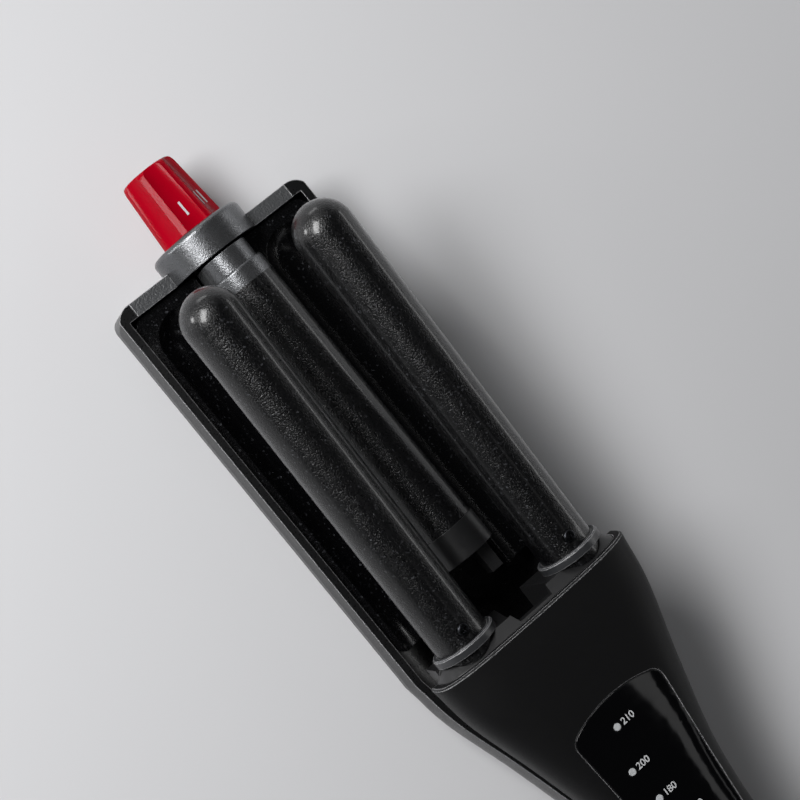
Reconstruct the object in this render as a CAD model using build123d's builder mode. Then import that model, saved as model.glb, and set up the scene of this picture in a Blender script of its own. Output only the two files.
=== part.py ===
from build123d import *

import os
from math import atan2, cos, degrees, hypot, radians, sin, tan

# Triple barrel hair waver with a depth dial: two heated barrels on the upper arm, a third on the lower arm
# that the dial at the tip raises or lowers, and a heated tray under all three. Millimetres, +Z up, the tip
# towards +X. The lower arm lies flat, and the upper arm stands open on its hinge spring.
# Places along the object are counted from the foot of the outer barrels, heights from the underside.

os.makedirs("parts", exist_ok=True)

# General sizes
overrun = 1.0  # cutting tools pass the faces that they cut by this much
body_gap = 0.3  # air between pieces of different bodies
seat_gap = 0.1  # air round a piece that sits in a pocket of its own body
running_gap = 0.06  # radial air of a shaft or pin in its bore
cover_gap = 0.15  # seam round the covers and the panel

# The two arms
open_angle = 5.5  # degrees that the hinge spring holds the jaws open
hinge_place = -185.0
arm_rear = -193.0
head_place = -6.0  # front lip of the head
head_half_width = 36.7
lip_bevel = 0.6  # round the front edge of the head
grip_half_width = 17.3
rim_level = 21.8  # top edge of the tray and of the lower half of the grip
lip_rise = 13.0  # head's lip over the axis of the outer barrels
shell_wall = 2.6
cover_thickness = 1.8
cover_rear = -174.0
cover_screw_spots = ((-34.0, 15.0), (-34.0, -15.0), (-150.0, 0.0))
cover_boss_radius = 3.2
cover_boss_top = 35.6  # in the roof of the upper housing
cover_screw_radius = 1.3
screw_head_radius = 2.5
screw_head_height = 1.2
screw_length = 8.0

# Outer barrels
barrel_spacing = 42.0
barrel_radius = 9.5
barrel_foot_radius = 8.9
barrel_length = 126.0
barrel_wall = 1.5
barrel_tail = 13.4  # length that goes into the block in the head
barrel_level = 25.1  # axis over the underside when the jaws are closed
collar_radius = 10.6
collar_thickness = 2.6
collar_chamfer = 0.4
holder_length = 17.4  # depth of that block
holder_floor = 14.3  # underside of the block
holder_bevel = 3.2
mouth_air = 0.9  # between the block and the inside of the tray
notch_top = 31.5
notch_top_half_width = 8.0
notch_foot_half_width = 5.0
notch_depth = 9.0
notch_rear_half_width = 6.2
notch_rear = -5.3  # rear edge of the notch at the top, close to the lip
wire_bore_radius = 4.0
spigot_reach = 8.0  # how far the block's spigots stand into the barrels
barrel_screw_place = 4.0
barrel_screw_radius = 1.9
barrel_screw_height = 1.3
barrel_screw_rise = 0.9
barrel_shank_radius = 1.0
barrel_shank_length = 4.0
heater_air = 0.2
heater_bore_radius = 5.0
outer_heater_start = 12.0
outer_heater_margin = 14.0  # from the heater's front to the end of its barrel
middle_heater_rear_margin = 7.4
middle_heater_front_margin = 5.4

# Middle barrel and its carriers
middle_level = 27.1  # axis in position I, the highest
middle_front = 117.4
middle_rear = 24.6
cap_length = 5.6
front_carrier_half_width = 8.3
front_carrier_length = 6.4
rear_carrier_half_width = 10.0
rear_carrier_length = 10.0
neck_length = 9.0
neck_width = 4.0
neck_offset = 4.5
leg_half_width = 3.1
carrier_foot = 20.4
neck_rise = 3.0  # of the neck over and under the barrel's axis
leg_length = 4.0
leg_foot = 10.2
cap_spigot_length = 4.0
cap_round = 0.8
carrier_pin_radius = 1.2
carrier_pin_level = 12.2
guide_pin_radius = 1.0
guide_pin_offset = 5.9
guide_pin_top = 23.5
guide_pin_foot = 1.0
guide_hole_top = 29.0

# Dial and depth setting
dial_steps = 2  # clicks from I to III
flute_count = 7
flute_angle = 40.0  # width of a flute in degrees, the rest is rib
flute_depth = 1.35
depth_lift = 5.0  # travel of the middle barrel from I to III
bar_travel = 5.0  # travel of the lift bar from I to III
dial_radius = 10.9
dial_end_radius = 9.2
dial_length = 22.6
dial_end_round = 1.8
dial_collar_radius = 15.75
end_plate_bridge = 1.85  # material of the end plate under the dial collar
dial_collar_wall = 2.2
dial_collar_rear = 130.4
dial_collar_length = 10.0
nose_radius = 4.9
nose_length = 17.0
rod_radius = 3.0
follower_radius = 1.2
follower_place = 149.0
sleeve_length = 16.0
sleeve_inset = 0.3
sleeve_wall = 1.2
slot_margin = 15.0  # degrees that the cam slot goes on past both ends of the travel
detent_offset = 7.9
ball_radius = 0.8
ball_rise = 0.6  # how far the ball stands out of the collar's face
detent_boss_radius = 1.8
detent_boss_length = 4.0
detent_wire_radius = 0.15
detent_turns = 5
detent_floor = 0.8  # wall left behind the ball's pocket
dimple_depth = 0.3

# Lift bar
bar_thickness = 1.6
cheek_thickness = 1.2
cheek_wall = 1.4  # least material round a slot
bar_level = 3.0
bar_rear = 15.5
bar_front = 129.9
arm_level = 5.2  # underside of the bar's arms in the dial collar
arm_height = 3.4
upright_thickness = 1.6

# Tray
tray_front = 135.0
tray_floor = 2.5
bulkhead_thickness = 2.4
tray_rear = -22.0
tray_corner = 6.0
end_plate_side_margin = 6.7  # corner of the tray beside the end plate
end_plate_thickness = 4.6
hair_gap = 1.5  # between a closed outer barrel and its trough
channel_gap = 1.1  # between the lowered middle barrel and its channel
trough_web = 1.2  # least thickness of the plate
plate_drop = 2.2  # land of the plate below the rim
plate_side_margin = 3.7  # from the plate's edge to the outside of the tray
plate_corner = 4.0
keel_half_width = 12.0
notch_air = 0.6  # round the carriers in the plate
plate_rear = 3.0
plate_front = 129.9
plate_screw_places = (34.0, 108.0)
plate_screw_offset = 8.6
plate_post_radius = 2.4
plate_post_foot = 5.1
plate_boss_radius = 3.6
plate_boss_top = 5.0
plate_screw_top = 12.5
plate_screw_recess = 0.4
plate_screw_radius = 1.2
heater_thickness = 1.8
flat_heater_rear = 15.0
flat_heater_front = 115.0
flat_heater_half_width = 6.5

# Control panel
panel_front = -38.0
panel_rear = -128.0
panel_half_width = 17.3
panel_rear_half_width = 11.0
panel_thickness = 1.4
panel_corner = 4.0
button_radius = 4.6
button_rise = 0.5
button_places = (-92.0, -108.0)
button_flange_radius = 5.5
button_flange_level = 32.6
button_flange_thickness = 0.8
led_radius = 1.1
led_spots = ((-46.5, 3.8), (-59.6, 8.3), (-71.0, 6.6), (-80.5, 3.2))
board_ends = (-125.0, -45.0)
board_half_width = 12.0
board_level = 27.4
board_thickness = 1.6
board_post_spots = ((-55.0, 8.0), (-55.0, -8.0), (-118.0, 8.0), (-118.0, -8.0))
board_post_radius = 2.0
board_hole_radius = 1.1
switch_half_width = 3.0
switch_height = 2.0
plunger_radius = 1.6
plunger_height = 0.6

# Hinge
hinge_pin_radius = 1.5
bush_wall = 1.0
knuckle_radius = 5.2
knuckle_half_width = 3.5
knuckle_rib_length = 7.0
knuckle_rib_top = 33.4  # in the roof of the upper housing
ear_inner = 9.8
ear_outer = 12.0
pin_half_length = 12.8
washer_thickness = 0.5
washer_radius = 3.4
spring_wire_radius = 0.6
spring_coil_radius = 3.1
spring_turns = 3.5
spring_start = 4.5
spring_width = 4.0
spring_leg = 9.0
heel_angle = 1.5  # degrees more than the open angle that the heel of the upper arm is cut back

# Cord inlet
gland_level = 11.0
gland_bore_radius = 3.2
gland_neck_radius = 5.4
gland_flange_radius = 8.0
gland_flange_length = 3.7
gland_reach = 14.0  # how far the gland stands out behind the arm
gland_clip_radius = 7.4
gland_clip_thickness = 1.0
gland_groove = 0.9  # depth of the clip's groove
gland_tip_radius = 5.2
gland_tail = 0.8  # of the neck past the clip

# Worked out from the sizes above
dial_collar_front = dial_collar_rear + dial_collar_length
dial_rear = dial_collar_front + body_gap
dial_front = dial_rear + dial_length
rear_reach = gland_reach - arm_rear
base_place = (rear_reach - dial_front) / 2
parting_level = rim_level + body_gap
hinge_level = rim_level + body_gap / 2
dial_turn = dial_steps * 360 / flute_count
lowest_level = middle_level - depth_lift
barrel_sides = (barrel_spacing / 2, -barrel_spacing / 2)
holder_rear = -collar_thickness - holder_length
barrel_end_centre = barrel_length - barrel_radius
trough_radius = barrel_radius + hair_gap
channel_radius = barrel_radius + channel_gap
plate_top = rim_level - plate_drop
plate_bottom = barrel_level - trough_radius - trough_web
keel_bottom = lowest_level - channel_radius - trough_web
cap_front = middle_front + cap_length
end_plate_half_width = head_half_width - end_plate_side_margin
plate_half_width = head_half_width - plate_side_margin
flat_heater_inner = barrel_spacing / 2 - flat_heater_half_width
flat_heater_outer = barrel_spacing / 2 + flat_heater_half_width
dial_level = dial_collar_radius + end_plate_bridge
outer_heater_stop = barrel_length - outer_heater_margin
middle_heater_start = middle_rear + middle_heater_rear_margin
middle_heater_stop = middle_front - middle_heater_front_margin
carrier_front = cap_front + front_carrier_length
carrier_rear = middle_rear - rear_carrier_length
front_leg_place = cap_front + front_carrier_length / 2
rear_leg_place = middle_rear - rear_carrier_length / 2
leg_places = (front_leg_place, rear_leg_place)
cheek_inner = leg_half_width + body_gap
cheek_outer = cheek_inner + cheek_thickness
pin_slot_radius = carrier_pin_radius + running_gap
bar_top = bar_level + bar_thickness
cheek_radius = pin_slot_radius + cheek_wall
cap_flat = carrier_pin_level + cheek_radius + depth_lift + body_gap  # clears the bar's cheeks at the lowest
collar_inner_radius = dial_collar_radius - dial_collar_wall
collar_inner_front = dial_collar_front - dial_collar_wall
upright_front = collar_inner_front - body_gap
upright_rear = upright_front - upright_thickness
rod_front = follower_place + follower_radius + cheek_wall
nose_front = dial_collar_front + nose_length
sleeve_bore = nose_radius + running_gap
sleeve_radius = sleeve_bore + sleeve_wall
sleeve_rear = dial_rear + sleeve_inset
cam_lead = bar_travel * 360 / dial_turn
slot_slope = -degrees(atan2(depth_lift, bar_travel))
inner_rear = arm_rear + shell_wall
cover_front = tray_rear - bulkhead_thickness - cover_gap


def arm_frame(angle):
    # the frame of an arm turned open about the hinge, with its origin at the barrels' foot
    along = Vector(cos(radians(angle)), 0, sin(radians(angle)))
    up = Vector(-sin(radians(angle)), 0, cos(radians(angle)))
    pin = Vector(base_place + hinge_place, 0, hinge_level)
    return Plane(origin=pin - along * hinge_place - up * hinge_level, x_dir=along, z_dir=up)


lower = arm_frame(0)
upper = arm_frame(open_angle)


def across(arm, place, side=0.0, level=0.0):
    # a plane square to the arm, seen from the tip: sketch X is the arm's Y, sketch Y its height
    return Plane(origin=arm.from_local_coords((place, side, level)), x_dir=arm.y_dir, z_dir=arm.x_dir)


def beside(arm, side=0.0, place=0.0, level=0.0):
    # a plane along the arm: sketch X runs to the tip, sketch Y is height, and it faces -Y
    return Plane(origin=arm.from_local_coords((place, side, level)), x_dir=arm.x_dir, z_dir=-arm.y_dir)


def over(arm, level, place=0.0, side=0.0):
    # a plane level with the arm: sketch X runs to the tip, sketch Y is the arm's Y
    return Plane(origin=arm.from_local_coords((place, side, level)), x_dir=arm.x_dir, z_dir=arm.z_dir)


# Outline of the arms, as shares: of the run from the lip to the rear end, of the flare and of the crown
station_shares = [0.0, 0.06, 0.12, 0.19, 0.26, 0.34, 0.43, 0.54, 0.66, 0.78, 0.89, 1.0]
flare_shares = [1.0, 0.92, 0.78, 0.57, 0.38, 0.19, 0.08, 0.02, 0.0, 0.0, -0.02, -0.06]
crown_shares = [1.0, 1.015, 1.02, 1.02, 1.01, 0.99, 0.975, 0.955, 0.93, 0.90, 0.86, 0.81]
arm_run = head_place - arm_rear
flare = head_half_width - grip_half_width
crown_height = barrel_level + lip_rise - parting_level
stations = [
    (head_place - along * arm_run, grip_half_width + wide * flare, parting_level + high * crown_height)
    for along, wide, high in zip(station_shares, flare_shares, crown_shares)
]

shoulder_share = 0.16  # straight foot of the upper arm's sides, of their height
arch_shares = [(1.0, 0.0), (0.95, 0.55), (0.8, 0.81), (0.45, 0.97), (0.0, 1.0)]
flank_share = 0.58  # height of the widest line of the lower arm, of the rim's
flat_share = 0.62  # flat part of the underside, of the width
rim_draw = 0.8  # how much narrower the rim is than the widest line
even = (1.0, 1.0)  # the curves leave their end tangents at an even pace


def crown_section(place, half_width, top, inset, base):
    # arched section of the upper arm, drawn in by the inset, standing on the level base
    side = half_width - inset
    crown = top - inset
    shoulder = parting_level + shoulder_share * (top - parting_level)
    with BuildSketch(across(upper, place)) as section:
        with BuildLine():
            Line((-side, base), (side, base))
            Line((side, base), (side, shoulder))
            arch = [(side * wide, shoulder + (crown - shoulder) * high) for wide, high in arch_shares]
            back = [(-wide, high) for wide, high in reversed(arch[:-1])]
            Spline(*arch, *back, tangents=[(0, 1), (0, -1)], tangent_scalars=even)
            Line((-side, shoulder), (-side, base))
        make_face()
    return section.sketch


def hull_section(place, half_width, crown, inset, floor, top):
    # boat-shaped section of the lower arm, drawn in by the inset, from the floor up to the level top
    # (the crown belongs to the upper arm and has no part in it)
    side = half_width - inset
    rim = side - rim_draw
    flat = flat_share * half_width - inset
    flank = flank_share * rim_level
    with BuildSketch(across(lower, place)) as section:
        with BuildLine():
            Line((-flat, floor), (flat, floor))
            bilge = [(flat, floor), (side, flank), (rim, rim_level)]
            rise = Vector(-rim_draw, flank).normalized()
            Spline(*bilge, tangents=[(1, 0), rise], tangent_scalars=even)
            if top > rim_level:
                Polyline((rim, rim_level), (rim, top), (-rim, top), (-rim, rim_level))
            else:
                Line((rim, rim_level), (-rim, rim_level))
            bilge = [(-wide, high) for wide, high in reversed(bilge)]
            fall = Vector(-rim_draw, -flank).normalized()
            Spline(*bilge, tangents=[fall, (1, 0)], tangent_scalars=even)
        make_face()
    return section.sketch


def station_at(place):
    # half width and top of the arms at any place, from the two stations next to it
    for ahead, behind in zip(stations, stations[1:]):
        if place >= behind[0]:
            break
    share = (ahead[0] - place) / (ahead[0] - behind[0])
    half_width, top = (front + share * (rear - front) for front, rear in zip(ahead[1:], behind[1:]))
    return place, half_width, top


def arm_sections(section, front, rear, *shape):
    # sections of an arm between two places
    between = [station for station in stations if rear < station[0] < front]
    return [section(*station, *shape) for station in (station_at(front), *between, station_at(rear))]


def panel_outline(edge):
    # plan of the control panel, drawn in by the edge: arched front, sides that draw in, round rear
    front = panel_front - edge
    rear = panel_rear + edge
    wide = panel_half_width - edge
    narrow = panel_rear_half_width - edge
    shoulder = front - panel_corner
    with BuildSketch(over(upper, parting_level)) as outline:
        with BuildLine():
            top = ThreePointArc((shoulder, wide), (front, 0), (shoulder, -wide))
            left = Line(top @ 0, (rear + narrow, narrow))
            right = Line(top @ 1, (rear + narrow, -narrow))
            ThreePointArc(left @ 1, (rear, 0), right @ 1)
        make_face()
        corners = outline.vertices().group_by(Axis.X)[-1]
        fillet(corners, panel_corner - edge)
    return outline.sketch


def block(arm, rear, front, right, left, bottom, top, mode=Mode.ADD):
    # a rectangular block between two places, two sides and two levels of an arm
    with BuildSketch(over(arm, bottom, (rear + front) / 2, (right + left) / 2)) as outline:
        Rectangle(front - rear, left - right)
    extrude(outline.sketch, amount=top - bottom, mode=mode)


def rod(plane, radius, length, bore=0.0, mode=Mode.ADD):
    # a round bar that stands on a plane, or a tube if it has a bore
    with BuildSketch(plane) as outline:
        Circle(radius)
        if bore:
            Circle(bore, mode=Mode.SUBTRACT)
    extrude(outline.sketch, amount=length, mode=mode)


def turned(arm, side, level, points, mode=Mode.ADD):
    # a turned piece: its (place, radius) points revolved about a line along the arm
    with BuildSketch(beside(arm, side, 0.0, level)) as outline:
        with BuildLine():
            Polyline(*points, close=True)
        make_face()
    centre = Axis(arm.from_local_coords((0.0, side, level)), arm.x_dir)
    revolve(outline.sketch, axis=centre, mode=mode)


def helix_on(plane, pitch, height, radius, lefthand=False):
    # a helix that starts on the plane's X axis and rises along its normal
    return plane * Helix(pitch, height, radius, lefthand=lefthand)


# Smooth forms that several pieces of the upper arm are cut from
with BuildPart() as crown_form:
    lip_rear = head_place - lip_bevel
    _, lip_width, lip_top = station_at(head_place)
    loft(sections=arm_sections(crown_section, lip_rear, arm_rear, 0, parting_level))
    lip_faces = [
        crown_section(*station_at(lip_rear), 0, parting_level),
        crown_section(head_place, lip_width, lip_top, lip_bevel, parting_level),
    ]
    loft(sections=lip_faces, ruled=True)

with BuildPart() as crown_raised:
    loft(sections=arm_sections(crown_section, head_place, arm_rear, -button_rise, parting_level))

with BuildPart() as panel_bed:
    bed_inset = panel_thickness + seat_gap
    loft(sections=arm_sections(crown_section, head_place, arm_rear, bed_inset, parting_level))

with BuildPart() as crown_cavity:
    base = parting_level - overrun
    loft(sections=arm_sections(crown_section, head_place, inner_rear, shell_wall, base))

with BuildPart() as crown_fill:
    fill_inset = shell_wall + cover_gap + seat_gap
    loft(sections=arm_sections(crown_section, head_place, inner_rear, fill_inset, base))

with BuildPart() as hull_fill:
    shape = (fill_inset, tray_floor, rim_level)
    loft(sections=arm_sections(hull_section, head_place, inner_rear, *shape))

with BuildPart() as panel_space:
    add(crown_form.part)
    add(panel_bed.part, mode=Mode.SUBTRACT)
    extrude(panel_outline(0), amount=crown_height * 2, mode=Mode.INTERSECT)

with BuildPart() as panel_pocket:
    add(crown_form.part)
    add(panel_bed.part, mode=Mode.SUBTRACT)
    extrude(panel_outline(-cover_gap), amount=crown_height * 2, mode=Mode.INTERSECT)

# Upper housing: the shell of the head and grip, with the hinge knuckle on a rib under its roof
with BuildPart() as upper_housing:
    add(crown_form.part)
    add(crown_cavity.part, mode=Mode.SUBTRACT)
    add(panel_pocket.part, mode=Mode.SUBTRACT)
    heel = (hinge_place - arm_rear + overrun) * tan(radians(open_angle + heel_angle))
    with BuildSketch(beside(upper, head_half_width)) as heel_cut:
        with BuildLine():
            Polyline(
                (hinge_place, parting_level),
                (hinge_place, parting_level - overrun),
                (arm_rear - overrun, parting_level - overrun),
                (arm_rear - overrun, parting_level + heel),
                close=True,
            )
        make_face()
    extrude(heel_cut.sketch, amount=head_half_width * 2, mode=Mode.SUBTRACT)
    knuckle_face = beside(upper, knuckle_half_width, hinge_place, hinge_level)
    rib_rear = hinge_place - knuckle_rib_length / 2
    rib_front = hinge_place + knuckle_rib_length / 2
    rod(knuckle_face, knuckle_radius, knuckle_half_width * 2)
    block(
        upper, rib_rear, rib_front, -knuckle_half_width, knuckle_half_width, hinge_level, knuckle_rib_top
    )
    bush_seat = hinge_pin_radius + running_gap + bush_wall + seat_gap
    rod(knuckle_face, bush_seat, knuckle_half_width * 2, mode=Mode.SUBTRACT)
    boss_foot = parting_level + cover_thickness
    for place, side in cover_screw_spots:
        rod(over(upper, boss_foot, place, side), cover_boss_radius, cover_boss_top - boss_foot)
        rod(over(upper, boss_foot, place, side), cover_screw_radius, screw_length, mode=Mode.SUBTRACT)
    for place in button_places:
        window = over(upper, button_flange_level + button_flange_thickness, place)
        rod(window, button_radius + body_gap, crown_height, mode=Mode.SUBTRACT)
upper_housing.part.label = "upper_housing"
export_step(upper_housing.part, "parts/upper_housing.step")

with BuildPart() as upper_inner_cover:
    add(crown_fill.part)
    block(
        upper,
        cover_rear,
        cover_front,
        -head_half_width,
        head_half_width,
        parting_level,
        parting_level + cover_thickness,
        mode=Mode.INTERSECT,
    )
    for place, side in board_post_spots:
        post_foot = parting_level + cover_thickness / 2
        rod(over(upper, post_foot, place, side), board_post_radius, board_level - seat_gap - post_foot)
    for place, side in cover_screw_spots:
        seat = over(upper, parting_level, place, side)
        rod(seat, cover_screw_radius + seat_gap, cover_thickness, mode=Mode.SUBTRACT)
        rod(seat, screw_head_radius + seat_gap, screw_head_height, mode=Mode.SUBTRACT)
upper_inner_cover.part.label = "upper_inner_cover"
export_step(upper_inner_cover.part, "parts/upper_inner_cover.step")

with BuildPart() as upper_cover_screws:
    for place, side in cover_screw_spots:
        rod(over(upper, parting_level, place, side), screw_head_radius, screw_head_height)
        rod(over(upper, parting_level, place, side), cover_screw_radius, screw_length)
upper_cover_screws.part.label = "upper_cover_screws"
export_step(upper_cover_screws.part, "parts/upper_cover_screws.step")

# Front plate: the heat-resistant block in the mouth of the head that carries both outer barrels
with BuildPart() as front_plate:
    add(crown_fill.part)
    block(
        upper,
        holder_rear,
        head_place,
        -head_half_width,
        head_half_width,
        parting_level,
        parting_level + crown_height * 2,
        mode=Mode.INTERSECT,
    )
    bevel = [
        crown_section(head_place, lip_width, lip_top, fill_inset, parting_level),
        crown_section(-collar_thickness, lip_width, lip_top, fill_inset + holder_bevel, parting_level),
    ]
    loft(sections=bevel, ruled=True)
    tray_inset = shell_wall + rim_draw + mouth_air
    flanks = [(-collar_thickness, lip_width - tray_inset), (head_place, lip_width - tray_inset)]
    flanks.append((holder_rear, station_at(holder_rear)[1] - tray_inset))
    with BuildSketch(over(upper, holder_floor)) as lower_plan:
        with BuildLine():
            Polyline(*flanks, *[(place, -side) for place, side in reversed(flanks)], close=True)
        make_face()
    extrude(lower_plan.sketch, amount=parting_level - holder_floor + overrun)
    with BuildSketch(across(upper, overrun - collar_thickness)) as notch:
        with BuildLine():
            Polyline(
                (-notch_foot_half_width, holder_floor - overrun),
                (notch_foot_half_width, holder_floor - overrun),
                (notch_top_half_width, notch_top),
                (-notch_top_half_width, notch_top),
                close=True,
            )
        make_face()
    extrude(notch.sketch, amount=-notch_depth - overrun, mode=Mode.SUBTRACT)
    with BuildSketch(over(upper, notch_top - overrun)) as notch_mouth:
        with BuildLine():
            Polyline(
                (overrun, -notch_top_half_width),
                (notch_rear, -notch_rear_half_width),
                (notch_rear, notch_rear_half_width),
                (overrun, notch_top_half_width),
                close=True,
            )
        make_face()
    extrude(notch_mouth.sketch, amount=crown_height, mode=Mode.SUBTRACT)
    for side in barrel_sides:
        socket_end = -collar_thickness - barrel_tail
        socket_radius = barrel_foot_radius + seat_gap
        spigot_radius = barrel_foot_radius - barrel_wall - seat_gap
        socket = across(upper, socket_end, side, barrel_level)
        rod(socket, socket_radius, barrel_tail, mode=Mode.SUBTRACT)
        rod(socket, spigot_radius, spigot_reach - socket_end)
        back = across(upper, holder_rear, side, barrel_level)
        rod(back, wire_bore_radius, spigot_reach - holder_rear, mode=Mode.SUBTRACT)
        shank = over(upper, barrel_level, barrel_screw_place, side)
        rod(shank, barrel_shank_radius + seat_gap, barrel_radius, mode=Mode.SUBTRACT)
front_plate.part.label = "front_plate"
export_step(front_plate.part, "parts/front_plate.step")

# Outer barrels: tubes that widen a little towards a closed round end
foot_level = barrel_level + barrel_foot_radius
screw_seat = foot_level + barrel_screw_rise - barrel_screw_height
for name, side in (("left", barrel_sides[0]), ("right", barrel_sides[1])):
    with BuildPart() as barrel:
        tail = -collar_thickness - barrel_tail + seat_gap
        inner_foot = barrel_foot_radius - barrel_wall
        inner_end = barrel_radius - barrel_wall
        diagonal = cos(radians(45))
        with BuildSketch(beside(upper, side, 0.0, barrel_level)) as profile:
            with BuildLine():
                Line((tail, barrel_foot_radius), (0, barrel_foot_radius))
                Line((0, barrel_foot_radius), (barrel_end_centre, barrel_radius))
                ThreePointArc(
                    (barrel_end_centre, barrel_radius),
                    (barrel_end_centre + barrel_radius * diagonal, barrel_radius * diagonal),
                    (barrel_length, 0),
                )
                Line((barrel_length, 0), (barrel_length - barrel_wall, 0))
                ThreePointArc(
                    (barrel_length - barrel_wall, 0),
                    (barrel_end_centre + inner_end * diagonal, inner_end * diagonal),
                    (barrel_end_centre, inner_end),
                )
                Polyline((barrel_end_centre, inner_end), (0, inner_foot), (tail, inner_foot))
                Line((tail, inner_foot), (tail, barrel_foot_radius))
            make_face()
        revolve(profile.sketch, axis=Axis(upper.from_local_coords((0, side, barrel_level)), upper.x_dir))
        seat = over(upper, barrel_level, barrel_screw_place, side)
        rod(seat, barrel_shank_radius + seat_gap, barrel_radius + overrun, mode=Mode.SUBTRACT)
        seat = over(upper, screw_seat, barrel_screw_place, side)
        rod(seat, barrel_screw_radius + seat_gap, barrel_screw_height, mode=Mode.SUBTRACT)
    barrel.part.label = f"{name}_barrel"
    export_step(barrel.part, f"parts/{name}_barrel.step")
    with BuildPart() as collar:
        ring = across(upper, -collar_thickness, side, barrel_level)
        rod(ring, collar_radius, collar_thickness, barrel_foot_radius + seat_gap)
        edge = collar.edges().filter_by(GeomType.CIRCLE).sort_by(SortBy.RADIUS)[-2:]
        chamfer(edge.sort_by(Axis.X)[-1], collar_chamfer)
    collar.part.label = f"{name}_collar"
    export_step(collar.part, f"parts/{name}_collar.step")

with BuildPart() as barrel_screws:
    for side in barrel_sides:
        head = over(upper, screw_seat, barrel_screw_place, side)
        rod(head, barrel_screw_radius, barrel_screw_height)
        rod(head, barrel_shank_radius, -barrel_shank_length)
barrel_screws.part.label = "barrel_screws"
export_step(barrel_screws.part, "parts/barrel_screws.step")

with BuildPart() as outer_barrel_heaters:
    slope = (barrel_radius - barrel_foot_radius) / barrel_end_centre
    ends = (outer_heater_start, outer_heater_stop)
    skin = [(place, barrel_foot_radius - barrel_wall - heater_air + slope * place) for place in ends]
    core = [(place, heater_bore_radius) for place in reversed(ends)]
    for side in barrel_sides:
        turned(upper, side, barrel_level, (*skin, *core))
outer_barrel_heaters.part.label = "outer_barrel_heaters"
export_step(outer_barrel_heaters.part, "parts/outer_barrel_heaters.step")

# Control panel, its indicators and buttons
with BuildPart() as control_panel:
    add(panel_space.part)
    for place in button_places:
        window = over(upper, button_flange_level, place)
        rod(window, button_radius + body_gap, crown_height, mode=Mode.SUBTRACT)
    for place, side in led_spots:
        window = over(upper, button_flange_level, place, side)
        rod(window, led_radius + cover_gap / 2, crown_height, mode=Mode.SUBTRACT)
control_panel.part.label = "control_panel"
export_step(control_panel.part, "parts/control_panel.step")

with BuildPart() as indicator_lenses:
    add(panel_space.part)
    with BuildSketch(over(upper, parting_level)) as spots:
        with Locations(*led_spots):
            Circle(led_radius)
    extrude(spots.sketch, amount=crown_height * 2, mode=Mode.INTERSECT)
indicator_lenses.part.label = "indicator_lenses"
export_step(indicator_lenses.part, "parts/indicator_lenses.step")

for name, place in zip(("temperature", "power"), button_places):
    with BuildPart() as button:
        rod(over(upper, button_flange_level, place), button_radius, crown_height)
        rod(over(upper, button_flange_level, place), button_flange_radius, button_flange_thickness)
        add(crown_raised.part, mode=Mode.INTERSECT)
    button.part.label = f"{name}_button"
    export_step(button.part, f"parts/{name}_button.step")

with BuildPart() as circuit_board:
    block(
        upper,
        *board_ends,
        -board_half_width,
        board_half_width,
        board_level,
        board_level + board_thickness,
    )
    for place, side in board_post_spots:
        hole = over(upper, board_level, place, side)
        rod(hole, board_hole_radius, board_thickness, mode=Mode.SUBTRACT)
circuit_board.part.label = "circuit_board"
export_step(circuit_board.part, "parts/circuit_board.step")

with BuildPart() as tact_switches:
    for place in button_places:
        foot = board_level + board_thickness
        block(
            upper,
            place - switch_half_width,
            place + switch_half_width,
            -switch_half_width,
            switch_half_width,
            foot,
            foot + switch_height,
        )
        rod(over(upper, foot, place), plunger_radius, switch_height + plunger_height)
tact_switches.part.label = "tact_switches"
export_step(tact_switches.part, "parts/tact_switches.step")

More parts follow.
